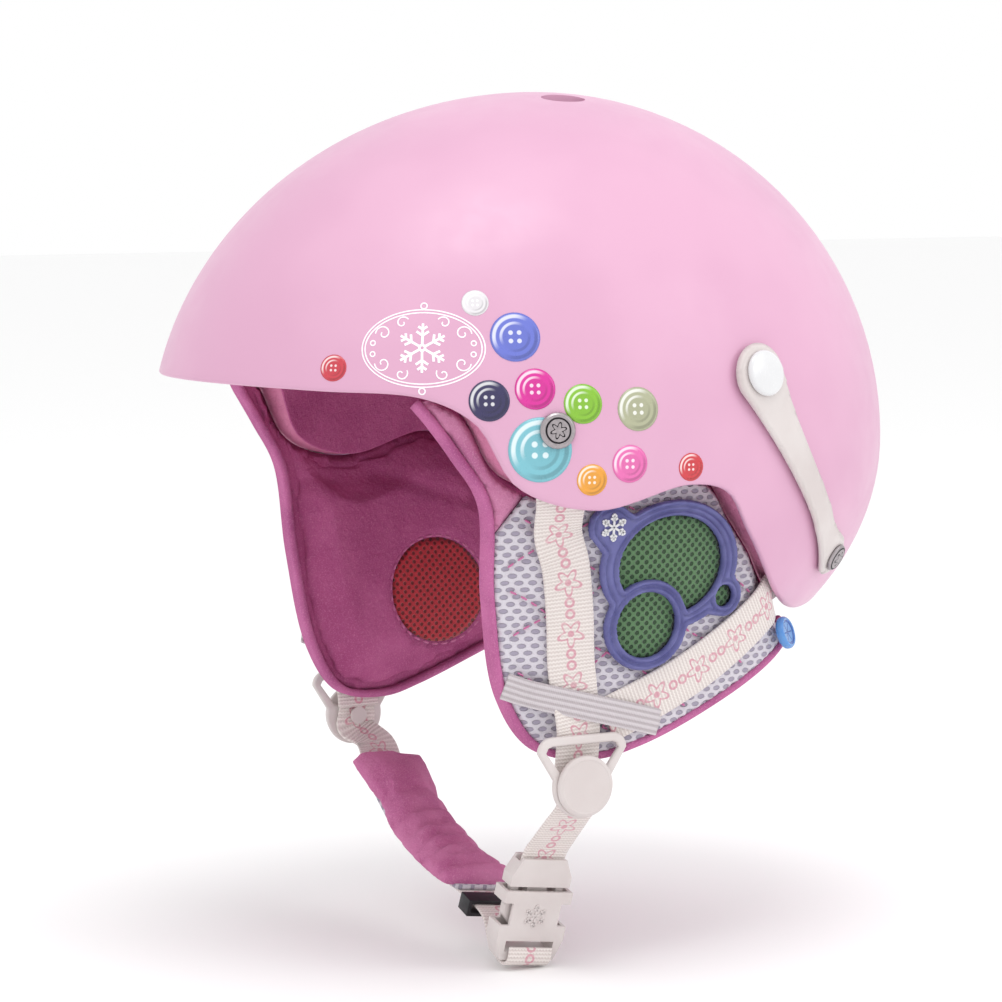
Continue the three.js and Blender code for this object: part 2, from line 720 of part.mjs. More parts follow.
function yokeShape() {
  const shape = new THREE.Shape();
  const top = YOKE_BAR_Z + YOKE_BAR_HALF;
  const half = YOKE_HALF_WIDTH;
  const lower = YOKE_CAP_RADIUS + 0.8;
  shape.moveTo(YOKE_Y - half + 2, top);
  shape.lineTo(YOKE_Y + half - 2, top);
  shape.quadraticCurveTo(YOKE_Y + half, top, YOKE_Y + half, top - 3);
  shape.lineTo(YOKE_Y + lower, YOKE_PIVOT_Z + 2);
  shape.absarc(YOKE_Y, YOKE_PIVOT_Z, lower, 0, Math.PI, true);
  shape.lineTo(YOKE_Y - half, top - 3);
  shape.quadraticCurveTo(YOKE_Y - half, top, YOKE_Y - half + 2, top);
  const slot = new THREE.Path();
  const slotTop = top - 2 * YOKE_BAR_HALF;
  const slotHalf = half - 3;
  slot.moveTo(YOKE_Y - slotHalf, slotTop);
  slot.lineTo(YOKE_Y - slotHalf + 2.2, slotTop - 4.2);
  slot.lineTo(YOKE_Y + slotHalf - 2.2, slotTop - 4.2);
  slot.lineTo(YOKE_Y + slotHalf, slotTop);
  shape.holes.push(slot);
  return shape;
}

const yokeX = padFace(YOKE_Y, YOKE_BAR_Z) + YOKE_DEPTH;
const yokeInside = yokeX - YOKE_THICKNESS / 2;
const yokeOutside = yokeX + YOKE_THICKNESS / 2;

// A frame at the yoke's pivot whose Z points outwards along +X.
function pivotFrame() {
  return frameAlong(new THREE.Vector3(0, YOKE_Y, YOKE_PIVOT_Z), new THREE.Vector3(1, 0, 0));
}

function yokes() {
  const hole = pinPrism(YOKE_Y, YOKE_PIVOT_Z, PIN_HOLE_RADIUS, 0, FAR);
  addPair('yoke_ring', prism(yokeShape(), yokeInside, yokeOutside, 12).subtract(hole), IVORY);
  const seat = yokeOutside + 0.3;
  const capTop = seat + 2.2;
  const tail = yokeInside - 2.6;
  const tailBase = tail - 0.8;
  addPair('yoke_cap', turned([
    [0, tailBase], [PIN_RADIUS + 0.8, tailBase], [PIN_RADIUS + 0.8, tail], [PIN_RADIUS, tail],
    [PIN_RADIUS, seat], [YOKE_CAP_RADIUS, seat], [YOKE_CAP_RADIUS, capTop - 0.7],
    [YOKE_CAP_RADIUS - 1.4, capTop], [0, capTop],
  ], pivotFrame(), 20), IVORY);
}

// ---------------------------------------------------------------- goggle arms

function armTop(y, z) {
  return onDome(inset(SHELL, -(ARM_GAP + ARM_THICKNESS / 2)), y, z).point;
}

function goggleArms() {
  const line = new THREE.CatmullRomCurve3(ARM_LINE.map(([y, z, half]) => new THREE.Vector3(y, z, half)));
  const samples = line.getPoints(10);
  const centres = samples.map((p) => armTop(p.x, p.y));
  const across = (i) => {
    const before = centres[Math.max(0, i - 1)];
    const after = centres[Math.min(centres.length - 1, i + 1)];
    const normal = onDome(SHELL, centres[i].y, centres[i].z).normal;
    return after.clone().sub(before).cross(normal).normalize();
  };
  let arm = strip(centres, across, (i) => samples[i].z, ARM_THICKNESS);
  const head = domeFrame(ARM_HEAD.y, ARM_HEAD.z);
  const base = ARM_GAP + 0.4;
  arm = arm.add(turned([[0, base], [ARM_HEAD.r, base], [ARM_HEAD.r, 2.8], [ARM_HEAD.r - 0.8, 3.5],
    [0, 3.5]], head, 24));
  const snap = domeFrame(SNAP.y, SNAP.z);
  arm = arm.subtract(cylinder(SNAP.socketRadius, -4, 2, snap)).subtract(cylinder(2.6, -4, 8, snap));
  addPair('goggle_arm', arm, IVORY);
  const capSeat = 3.9;
  addPair('snap_cap', turned([
    [0, 2.2], [2.1, 2.2], [2.1, capSeat], [SNAP.capRadius, capSeat], [SNAP.capRadius, capSeat + 0.8],
    [SNAP.capRadius - 1.6, capSeat + 1.7], [0, capSeat + 2.1],
  ], snap, 20), WHITE_GLOSS);
  addPair('snap_stud', turned([[0, 0.3], [SNAP.studRadius, 0.3], [SNAP.studRadius, 1.1],
    [SNAP.studRadius - 0.6, 1.6], [0, 1.6]], snap), STEEL);
}

// The fixed foot of a goggle arm: a round tab under the rear rivet.
function armFeet() {
  const frame = domeFrame(...REAR_RIVET);
  const low = ARM_GAP;
  const high = ARM_GAP + 2;
  const tab = cylinder(6.4, low, high, frame, 20);
  const end = armTop(ARM_LINE[0][0], ARM_LINE[0][1]);
  const start = armTop(REAR_RIVET[0], REAR_RIVET[1]);
  const along = end.clone().sub(start);
  const reach = 1 - FOOT_GAP / along.length();
  const neck = [0, 0.5, reach].map((t) => start.clone().addScaledVector(along, t));
  const across = along.clone().cross(onDome(SHELL, ...REAR_RIVET).normal).normalize();
  const strap = strip(neck, () => across, () => 5.2, 2);
  const hole = cylinder(RIVET_HOLE_RADIUS, -6, 8, frame, 12);
  addPair('arm_foot', tab.add(strap).subtract(hole), IVORY);
}

// ---------------------------------------------------------------- chin strap and buckle

const loopDown = new THREE.Vector3(0, -LOOP_TILT, -1);
loopDown.addScaledVector(LOOP_LEFT, -loopDown.dot(LOOP_LEFT)).normalize();
const loopRear = loopDown.clone().negate().cross(LOOP_LEFT).normalize();

function onLoop(left, down, rearwards = 0) {
  return LOOP_ORIGIN.clone().addScaledVector(LOOP_LEFT, left).addScaledVector(loopDown, down)
    .addScaledVector(loopRear, rearwards);
}

// The buckle's own frame: X forwards, Y out to the left and Z up along the strap.
function buckleFrame() {
  const pivot = onLoop(RIGHT_ROUTE[0][0], RIGHT_ROUTE[0][1] - 0.9);
  const centre = onLoop(...BUCKLE_CENTRE);
  const outwards = centre.clone().sub(pivot).normalize();
  const up = outwards.clone().cross(loopRear).normalize();
  if (up.z < 0) up.negate();
  const across = outwards.clone().cross(up).normalize();
  return new THREE.Matrix4().makeBasis(across, outwards, up).setPosition(centre);
}

function box(xLow, xHigh, yLow, yHigh, zLow, zHigh, matrix) {
  const geometry = new THREE.BoxGeometry(xHigh - xLow, yHigh - yLow, zHigh - zLow);
  geometry.translate((xLow + xHigh) / 2, (yLow + yHigh) / 2, (zLow + zHigh) / 2);
  geometry.applyMatrix4(matrix);
  return solidOf(geometry);
}

// A plate in the buckle's XZ plane, with a chamfered outline, centred on its thickness.
function plate(outline, thickness, matrix) {
  const shape = new THREE.Shape(outline.map(([x, z]) => new THREE.Vector2(x, z)));
  const geometry = new THREE.ExtrudeGeometry(shape, { depth: thickness, bevelEnabled: false });
  geometry.translate(0, 0, -thickness / 2);
  geometry.rotateX(Math.PI / 2);
  geometry.applyMatrix4(matrix);
  return solidOf(geometry);
}

function bucklePlug(frame) {
  const half = PLUG.width / 2;
  const body = plate([[-half, 1.4], [half, 1.4], [half, 5], [half - 3, PLUG.height],
    [-half + 3, PLUG.height], [-half, 5]], PLUG.thickness, frame);
  const slot = box(-8.6, 8.6, -PLUG.thickness, -0.6, 5.4, 8.6, frame);
  const strapWay = box(-8.6, 8.6, -2, 2, 5.4, PLUG.height + 1, frame);
  const tongue = plate([[-3, -9.5], [3, -9.5], [3.6, -7], [3.6, 2], [-3.6, 2], [-3.6, -7]], 3, frame);
  return body.subtract(slot).subtract(strapWay).add(tongue);
}

// One springy prong of the plug; side is 1 for the front one and -1 for the rear one.
function prong(side, frame) {
  const inner = PRONG.offset - PRONG.width / 2;
  const outer = PRONG.offset + PRONG.width / 2;
  const tip = -PRONG.length;
  const outline = [[inner, PRONG.root], [outer, PRONG.root], [outer, -4.5], [outer + 1, -5.6],
    [outer + 1, -9], [inner + 1, tip], [inner - 1, tip + 1.4], [inner, -6]];
  const placed = outline.map(([x, z]) => [side * x, z]);
  return plate(side < 0 ? placed.reverse() : placed, PRONG.thickness, frame);
}

function buckleHousing(frame) {
  const half = BUCKLE.width / 2;
  const length = BUCKLE.length;
  const body = plate([[-half, 0], [half, 0], [half, -17], [half - 2.5, -length],
    [-half + 2.5, -length], [-half, -17]], BUCKLE.thickness, frame);
  const inner = BUCKLE.thickness / 2 - BUCKLE.wall;
  const cavity = box(-half + BUCKLE.wall, half - BUCKLE.wall, -inner, inner, -BUCKLE.depth, 1, frame);
  let housing = body.subtract(cavity);
  for (const side of [-1, 1]) {
    const low = side < 0 ? -half - 1 : half - 3.4;
    housing = housing.subtract(box(low, low + 4.4, -FAR, FAR, -12, -4.2, frame));
  }
  const strapWay = box(-8.8, 8.8, -FAR, FAR, -21, -17.4, frame);
  return housing.subtract(strapWay);
}

// The width of a chin strap turns from straight rearwards at its pin to the loop's own direction.
function acrossLoop(part) {
  return new THREE.Vector3(0, 1, 0).lerp(loopRear, Math.min(1, part)).normalize();
}

function loopStrip(route, steps, width, thickness, [depthLow, depthHigh] = [0, 0]) {
  const curve = new THREE.CatmullRomCurve3(route.map(([left, down]) => new THREE.Vector3(left, down, 0)));
  const points = curve.getPoints(steps);
  const centres = points.map((point, i) => {
    const before = points[Math.max(0, i - 1)];
    const after = points[Math.min(steps, i + 1)];
    const along = after.clone().sub(before).normalize();
    const offset = (depthLow + depthHigh) / 2;
    return onLoop(point.x + along.y * offset, point.y - along.x * offset);
  });
  return strip(centres, () => loopRear, () => width / 2, thickness);
}

function chinStrapLeft(frame) {
  const radius = 7.4;
  const inside = yokeInside - 0.4 - WEBBING;
  const eye = pinPrism(YOKE_Y, YOKE_PIVOT_Z, radius, inside, inside + WEBBING);
  const top = new THREE.Vector3(inside + WEBBING / 2, YOKE_Y, YOKE_PIVOT_Z);
  const curve = new THREE.CatmullRomCurve3([top, top.clone().add(new THREE.Vector3(0, 0, -6)),
    ...LEFT_ROUTE.map(([left, down]) => onLoop(left, down)),
    new THREE.Vector3(0, 0, 6.4).applyMatrix4(frame)]);
  const centres = curve.getPoints(14);
  const half = (i) => lerp(radius, WEBBING_WIDTH / 2, Math.min(1, i / 4));
  const strap = strip(centres, (i) => acrossLoop(i / 10), half, WEBBING);
  const hole = pinPrism(YOKE_Y, YOKE_PIVOT_Z, PIN_HOLE_RADIUS, 0, FAR);
  return strap.add(eye).subtract(hole);
}

function chinLinkRight() {
  const radius = 7.4;
  const inside = -(yokeInside - 0.5 - WEBBING);
  const eye = pinPrism(YOKE_Y, YOKE_PIVOT_Z, radius, inside - WEBBING, inside);
  const top = new THREE.Vector3(inside - WEBBING / 2, YOKE_Y, YOKE_PIVOT_Z);
  const end = onLoop(RIGHT_ROUTE[0][0], RIGHT_ROUTE[0][1] - 2.4);
  const straight = top.clone().add(new THREE.Vector3(1.3, 0, -4));
  const centres = new THREE.CatmullRomCurve3([top, straight, end]).getPoints(6);
  const half = (i) => lerp(radius, WEBBING_WIDTH / 2, i / 6);
  const strap = strip(centres, (i) => acrossLoop(i / 6), half, WEBBING);
  const hole = pinPrism(YOKE_Y, YOKE_PIVOT_Z, PIN_HOLE_RADIUS, -FAR, 0);
  return strap.add(eye).subtract(hole);
}

function chinStrapRight(frame) {
  const barRoute = BAR_ROUTE.map(([outwards, up]) => {
    const point = new THREE.Vector3(0, outwards, up).applyMatrix4(frame).sub(LOOP_ORIGIN);
    return [point.dot(LOOP_LEFT), point.dot(loopDown)];
  });
  return loopStrip([...RIGHT_ROUTE, ...barRoute], 30, WEBBING_WIDTH, WEBBING);
}

// A rubber loop round the chin strap, just short of the buckle.
function strapKeeper() {
  const { along, halfWidth, thickness, length } = KEEPER;
  const [start, end] = RIGHT_ROUTE.slice(-2).map(([left, down]) => onLoop(left, down));
  const ahead = end.clone().sub(start).normalize();
  const normal = ahead.clone().cross(loopRear).normalize();
  const frame = new THREE.Matrix4().makeBasis(loopRear, normal, ahead)
    .setPosition(start.lerp(end, along));
  const clear = WEBBING / 2 + 0.9;
  const outer = box(-halfWidth, halfWidth, -clear - thickness, clear + thickness, 0, length, frame);
  const way = box(-halfWidth + thickness, halfWidth - thickness, -clear, clear, -1, length + 1, frame);
  return outer.subtract(way);
}

function chinStrap() {
  const frame = buckleFrame();
  addPiece('chin_strap_left', chinStrapLeft(frame), CREAM_WEBBING);
  addPiece('buckle_plug', bucklePlug(frame), IVORY);
  addPiece('buckle_prong_front', prong(1, frame), IVORY);
  addPiece('buckle_prong_rear', prong(-1, frame), IVORY);
  addPiece('buckle_housing', buckleHousing(frame), IVORY);
  addPiece('chin_link_right', chinLinkRight(), CREAM_WEBBING);
  addPiece('chin_strap_right', chinStrapRight(frame), CREAM_WEBBING);
  addPiece('strap_keeper', strapKeeper(), BLACK_RUBBER);
  const padRoute = RIGHT_ROUTE.slice(1, -1);
  const thickness = ([low, high]) => high - low;
  addPiece('chin_pad_fleece', loopStrip(padRoute, 14, CHIN_PAD_WIDTH, thickness(CHIN_FLEECE),
    CHIN_FLEECE), FLEECE);
  addPiece('chin_pad_cover', loopStrip(padRoute, 14, CHIN_PAD_WIDTH, thickness(CHIN_COVER),
    CHIN_COVER), MESH_CLOTH);
}

shellAndLiner();
comfortPads();
earPads();
yStraps();
rivets();
yokes();
goggleArms();
armFeet();
chinStrap();

export default helmet;
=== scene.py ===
import math

import bmesh
import bpy
import numpy as np
from mathutils import Matrix, Vector
from mathutils.geometry import delaunay_2d_cdt


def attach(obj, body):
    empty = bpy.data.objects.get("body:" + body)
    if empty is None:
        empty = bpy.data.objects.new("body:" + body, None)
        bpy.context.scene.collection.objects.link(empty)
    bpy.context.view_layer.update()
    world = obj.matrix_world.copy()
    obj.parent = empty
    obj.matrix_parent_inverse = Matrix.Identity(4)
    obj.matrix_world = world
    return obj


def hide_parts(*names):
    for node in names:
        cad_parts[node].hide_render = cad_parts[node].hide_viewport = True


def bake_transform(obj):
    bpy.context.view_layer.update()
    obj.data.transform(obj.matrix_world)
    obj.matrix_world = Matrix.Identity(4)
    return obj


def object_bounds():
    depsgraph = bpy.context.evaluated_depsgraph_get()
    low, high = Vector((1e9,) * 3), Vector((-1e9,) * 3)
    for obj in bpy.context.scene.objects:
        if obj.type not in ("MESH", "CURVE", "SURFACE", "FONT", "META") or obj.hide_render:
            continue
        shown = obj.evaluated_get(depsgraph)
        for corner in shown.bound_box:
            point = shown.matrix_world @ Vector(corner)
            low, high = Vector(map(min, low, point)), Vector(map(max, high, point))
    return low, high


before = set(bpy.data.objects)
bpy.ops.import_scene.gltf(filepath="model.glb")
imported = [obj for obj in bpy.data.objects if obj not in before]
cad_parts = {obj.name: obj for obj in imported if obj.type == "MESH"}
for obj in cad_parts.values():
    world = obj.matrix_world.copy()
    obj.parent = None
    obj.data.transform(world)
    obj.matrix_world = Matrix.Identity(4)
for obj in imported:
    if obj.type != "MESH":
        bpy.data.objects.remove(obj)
CAD_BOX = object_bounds()

# A youth ski helmet round its CAD frame. Sizes are in millimetres, as in the CAD source, and
# meshes are written in metres. +Z is up, -Y is the front and +X is the wearer's left.

MM = 0.001
SIDES = (("left", 1), ("right", -1))

# ---------------------------------------------------------------- sizes that the CAD sets

SHELL = dict(side=103.0, front=136.0, rear=124.5, up=118.5, down=93.5)
SHELL_THICKNESS = 2.6
LINER_GAP = 1.0
LINER_INSIDE = dict(side=80.0, front=106.0, rear=99.0, up=96.0, down=80.0)
LINER_RIM_LIFT = 3.6
RIM = [
    (-140, 25.5), (-110, 24), (-84, 22), (-70, 14), (-58, -6), (-33, -14), (-1, -7),
    (14, -10), (25, -24), (48, -48), (68, -56), (112, -52),
]
VENT_X, VENT_LENGTH, VENT_WIDTH = 19.0, 16.0, 11.0
REAR_VENT = (12.0, 62.0)

PAD_HALF_WIDTH, PAD_HALF_LENGTH, PAD_TAPER, PAD_LEVEL = 88.0, 120.0, 0.125, -30.0
PAD_TUCK_DEPTH, PAD_TUCK_HEIGHT = 7.4, 16.0
PAD_EDGE = [
    (-82, 20), (-70, 3), (-61, -12), (-58, -43), (-51.5, -76), (-40, -92.5),
    (-21, -96), (-7, -93), (15.5, -84.5), (48, -69), (58, -60),
]
EAR_HOLE = (0.0, -60.0, 18.5)
VENT_LARGE = (0.1, -34.0, 21.5, 16.2)
VENT_STRETCH = 1.2
VENT_MEDIUM = (-8.0, -53.3, 15.0, 10.8)
VENT_SMALL = (21.4, -45.6, 7.2, 3.6)
VENT_LOBE = (-22.8, -20.4, 7.7)
PAD_BUTTON = (50.0, -62.2, 5.5)

WEBBING_WIDTH, WEBBING = 16.0, 1.2
STRAP_GAP = 2.0
FRONT_RIVET = (-46.5, 11.9)
REAR_RIVET = (70.3, -35.7)
ARM_LINE = [(64, -29.2, 5.3), (56, -18, 4.9), (45, -3, 5.5), (35, 12.5, 7.2)]
ARM_HEAD = (27.2, 27.0, 10.4)
ARM_THICKNESS, ARM_GAP = 2.6, 0.4
SNAP = (27.0, 27.0)

YOKE_Y, YOKE_PIVOT_Z, YOKE_BAR_Z = -29.0, -104.5, -89.6
YOKE_BAR_HALF, YOKE_HALF_WIDTH = 1.5, 15.0
YOKE_DEPTH, YOKE_THICKNESS, YOKE_CAP_RADIUS = 4.1, 2.2, 10.0

LOOP_ORIGIN = Vector((1.5, -26.5, -110))
LOOP_LEFT = Vector((0.9995, -0.0321, 0)).normalized()
LOOP_TILT = 0.12
LEFT_ROUTE = [(71.5, 8), (64, 15.5), (60.2, 19.5)]
RIGHT_ROUTE = [(-75, 5.4), (-66, 11.5), (-50, 21.5), (-30, 31.6), (-6, 38), (18, 41.2), (36, 46.2)]
BUCKLE_CENTRE = (55.4, 32.5)
BAR_ROUTE = [(-8, -24), (-2.5, -25.4), (3.2, -25.6), (5.8, -23.4), (5.6, -19)]
CHIN_PAD_WIDTH = 26.0
CHIN_FLEECE = (4.1, 8.6)
CHIN_COVER = (0.9, 3.8)

# The routes of the straps over each ear pad: (y, z, depth), with no depth inside the shell.
FRONT_STRAP_ROUTE = [
    (-48.5, 18, None), (-46.5, 11.9, None), (-44.5, 0, None), (-42.6, -11, None),
    (-40.2, -22, 2), (-36.5, -33, 1), (-34, -50, 1), (-32.8, -64, 1.1), (-31.5, -73, 1.5),
    (-30, -82, 2.1), (-29.2, -88, 2.1), (-29, -101.5, 1.6),
]
REAR_STRAP_ROUTE = [
    (76, -34, None), (70.3, -35.7, None), (58, -41.5, None), (50, -45.5, None),
    (42, -51, 3), (30, -59, 2), (15, -68.5, 1.2), (0, -76, 1), (-14, -82.2, 0.9), (-19, -84.4, 0.8),
]
ELASTIC_ROUTE = [
    (-53, -71.6, 0.6), (-47, -73.8, 1.1), (-41.5, -75.4, 2.9), (-33, -77.6, 3.3),
    (-25, -79.7, 3.2), (-20, -81, 2.7), (-8, -84.2, 2.4), (0, -86.4, 1.0),
]

# ---------------------------------------------------------------- curves and surfaces


def catmull(points, count):
    """A centripetal Catmull-Rom curve through points, at count + 1 even steps."""
    p = np.array(points, float)
    p = np.vstack([2 * p[0] - p[1], p, 2 * p[-1] - p[-2]])
    spans = len(p) - 3
    result = []
    for place in np.linspace(0, spans, count + 1):
        i = min(int(place), spans - 1)
        t = place - i
        a, b, c, d = p[i:i + 4]
        ta, tb, tc = (max(1e-4, np.linalg.norm(v) ** 0.5) for v in (b - a, c - b, d - c))
        start = ((b - a) / ta - (c - a) / (ta + tb) + (c - b) / tb) * tb
        end = ((c - b) / tb - (d - b) / (tb + tc) + (d - c) / tc) * tb
        h = (2 * t**3 - 3 * t**2 + 1, t**3 - 2 * t**2 + t, -2 * t**3 + 3 * t**2, t**3 - t**2)
        result.append(h[0] * b + h[1] * start + h[2] * c + h[3] * end)
    return np.array(result)


RIM_LINE = catmull(RIM, 600)


def rim_height(y):
    return np.interp(y, RIM_LINE[:, 0], RIM_LINE[:, 1])


def smoothstep(low, high, value):
    t = np.clip((value - low) / (high - low), 0, 1)
    return t * t * (3 - 2 * t)


def inset(form, gap):
    return {key: value - gap for key, value in form.items()}


def dome_point(form, turn, lift):
    forward = np.cos(turn)
    length = np.where(forward > 0, form["front"], form["rear"])
    height = np.where(np.sin(lift) > 0, form["up"], form["down"])
    return np.stack([
        form["side"] * np.cos(lift) * np.sin(turn),
        -length * np.cos(lift) * forward,
        height * np.sin(lift),
    ], axis=-1)


def rim_lift(form, turn, rise):
    """The lift at which the dome meets the rim line raised by rise."""
    low = np.full_like(turn, -1.3)
    high = np.full_like(turn, 1.3)
    for _ in range(40):
        middle = (low + high) / 2
        point = dome_point(form, turn, middle)
        above = point[..., 2] > rim_height(point[..., 1]) + rise
        high = np.where(above, middle, high)
        low = np.where(above, low, middle)
    return (low + high) / 2


def dome_x(form, y, z):
    length = np.where(y < 0, form["front"], form["rear"])
    height = np.where(z > 0, form["up"], form["down"])
    return form["side"] * np.sqrt(np.maximum(0.01, 1 - (y / length) ** 2 - (z / height) ** 2))


def dome_normal(point):
    x, y, z = point
    length = SHELL["front"] if y < 0 else SHELL["rear"]
    height = SHELL["up"] if z > 0 else SHELL["down"]
    return Vector((x / SHELL["side"] ** 2, y / length**2, z / height**2)).normalized()


def on_dome(y, z, gap=0.0):
    return Vector((float(dome_x(inset(SHELL, gap), y, z)), y, z))


def drape(points, height):
    """Points near the shell, moved onto it and lifted off it by height."""
    result = []
    for point in points:
        x, y, z = point
        length = SHELL["front"] if y < 0 else SHELL["rear"]
        level = SHELL["up"] if z > 0 else SHELL["down"]
        scale = math.sqrt((x / SHELL["side"]) ** 2 + (y / length) ** 2 + (z / level) ** 2)
        on = Vector(point) / scale
        result.append(on + dome_normal(on) * height)
    return result


def pad_face(y, z):
    half = PAD_HALF_WIDTH + PAD_TAPER * (z - PAD_LEVEL)
    length = PAD_HALF_LENGTH * half / PAD_HALF_WIDTH
    free = half * np.sqrt(np.maximum(0.05, 1 - (y / length) ** 2))
    rim = rim_height(y)
    tucked = dome_x(inset(SHELL, PAD_TUCK_DEPTH), y, np.maximum(z, rim))
    weight = smoothstep(rim - PAD_TUCK_HEIGHT, rim, z)
    return free + (np.minimum(free, tucked) - free) * weight


def pad_normal(y, z):
    step = 0.5
    slope_y = (pad_face(y + step, z) - pad_face(y - step, z)) / (2 * step)
    slope_z = (pad_face(y, z + step) - pad_face(y, z - step)) / (2 * step)
    return Vector((1, -slope_y, -slope_z)).normalized()


def on_pad(y, z, depth=0.0):
    return Vector((float(pad_face(y, z)) + depth, y, z))


def frame_along(point, normal):
    """A frame at point whose Z is normal and whose Y points as far upwards as it can."""
    across = Vector((0, 0, 1)).cross(normal).normalized()
    up = normal.cross(across)
    return Matrix.Translation(point) @ Matrix((across, up, normal)).transposed().to_4x4()


def dome_frame(y, z):
    point = on_dome(y, z)
    return frame_along(point, dome_normal(point))


loop_down = Vector((0, -LOOP_TILT, -1))
loop_down = (loop_down - LOOP_LEFT * loop_down.dot(LOOP_LEFT)).normalized()
loop_rear = (-loop_down).cross(LOOP_LEFT).normalized()


def on_loop(left, down, rear=0.0):
    return LOOP_ORIGIN + LOOP_LEFT * left + loop_down * down + loop_rear * rear


def buckle_frame():
    pivot = on_loop(RIGHT_ROUTE[0][0], RIGHT_ROUTE[0][1] - 0.9)
    centre = on_loop(*BUCKLE_CENTRE)
    outwards = (centre - pivot).normalized()
    up = outwards.cross(loop_rear).normalized()
    if up.z < 0:
        up.negate()
    across = outwards.cross(up).normalized()
    return Matrix.Translation(centre) @ Matrix((across, outwards, up)).transposed().to_4x4()


# ---------------------------------------------------------------- meshes


def make(name, verts, faces, side=1, uv=None, smooth=True):
    """A mesh object from points in millimetres. side -1 mirrors it to the wearer's right."""
    mesh = bpy.data.meshes.new(name)
    points = [(side * v[0] * MM, v[1] * MM, v[2] * MM) for v in verts]
    loops = [tuple(reversed(face)) if side < 0 else tuple(face) for face in faces]
    mesh.from_pydata(points, [], loops)
    if uv is not None:
        layer = mesh.uv_layers.new(name="UVMap")
        for loop in mesh.loops:
            layer.data[loop.index].uv = uv[loop.vertex_index]
    mesh.validate()
    faces_outwards(mesh)
    if smooth:
        mesh.shade_smooth()
    obj = bpy.data.objects.new(name, mesh)
    bpy.context.scene.collection.objects.link(obj)
    return obj


def faces_outwards(mesh):
    work = bmesh.new()
    work.from_mesh(mesh)
    bmesh.ops.recalc_face_normals(work, faces=work.faces)
    if work.calc_volume(signed=True) < 0:
        bmesh.ops.reverse_faces(work, faces=work.faces)
    work.to_mesh(mesh)
    work.free()


def bake(obj):
    """Applies the object's modifiers to its mesh."""
    graph = bpy.context.evaluated_depsgraph_get()
    mesh = bpy.data.meshes.new_from_object(obj.evaluated_get(graph))
    obj.modifiers.clear()
    old = obj.data
    obj.data = mesh
    bpy.data.meshes.remove(old)
    mesh.name = obj.name
    return obj


def remove(obj):
    mesh = obj.data
    bpy.data.objects.remove(obj)
    bpy.data.meshes.remove(mesh)


def cut(obj, cutters):
    for cutter in cutters:
        modifier = obj.modifiers.new("cut", "BOOLEAN")
        modifier.object = cutter
        modifier.operation = "DIFFERENCE"
        modifier.solver = "EXACT"
    bake(obj)
    for cutter in cutters:
        remove(cutter)
    return obj


def subdivide(obj, levels=1):
    modifier = obj.modifiers.new("smooth", "SUBSURF")
    modifier.levels = levels
    modifier.render_levels = levels
    return bake(obj)


def smooth_by_angle(obj, degrees=35):
    obj.data.shade_smooth()
    work = bmesh.new()
    work.from_mesh(obj.data)
    limit = math.radians(degrees)
    for edge in work.edges:
        edge.smooth = not (edge.is_manifold and edge.calc_face_angle(0) > limit)
    work.to_mesh(obj.data)
    work.free()


def mirror_copy(obj, name):
    mesh = obj.data.copy()
    mesh.name = name
    mesh.transform(Matrix.Scale(-1, 4, (1, 0, 0)))
    mesh.flip_normals()
    copy = bpy.data.objects.new(name, mesh)
    bpy.context.scene.collection.objects.link(copy)
    return copy


def join(objects, name):
    """One mesh object from several; each keeps its own closed surface."""
    work = bmesh.new()
    for obj in objects:
        work.from_mesh(obj.data)
    mesh = bpy.data.meshes.new(name)
    work.to_mesh(mesh)
    work.free()
    mesh.shade_smooth()
    for obj in objects:
        remove(obj)
    joined = bpy.data.objects.new(name, mesh)
    bpy.context.scene.collection.objects.link(joined)
    return joined


def section(half_width, thickness, corner_steps=4):
    """The outline of a strip with round edges: (across, out) points."""
    radius = thickness / 2
    points = []
    for turn in (-1, 1):
        for i in range(corner_steps + 1):
            angle = math.pi * (i / corner_steps - 0.5)
            x = turn * (half_width - radius + radius * math.cos(angle))
            points.append((x, turn * radius * math.sin(angle)))
    flat = [(-0.5, -radius), (0, -radius), (0.5, -radius)]
    top = [(x * half_width, z) for x, z in flat]
    bottom = [(-x * half_width, -z) for x, z in flat]
    return points[:corner_steps + 1] + top + points[corner_steps + 1:] + bottom


def sweep(name, centres, across_at, section_at, side=1):
    """A closed strip along centres. Its UV is (across, along) in millimetres."""
    centres = [Vector(c) for c in centres]
    last = len(centres) - 1
    verts, faces, uv = [], [], []
    along = 0.0
    for i, centre in enumerate(centres):
        ahead = (centres[min(last, i + 1)] - centres[max(0, i - 1)]).normalized()
        across = Vector(across_at(i))
        across = (across - ahead * across.dot(ahead)).normalized()
        normal = ahead.cross(across).normalized()
        if i:
            along += (centre - centres[i - 1]).length
        ring = section_at(i)
        for a, b in ring:
            verts.append(centre + across * a + normal * b)
            uv.append((a, along))
    size = len(ring)
    for i in range(last):
        for j in range(size):
            k = (j + 1) % size
            faces.append((i * size + j, i * size + k, (i + 1) * size + k, (i + 1) * size + j))
    faces.append(range(size))
    faces.append(range(last * size, (last + 1) * size))
    return make(name, verts, faces, side, uv)


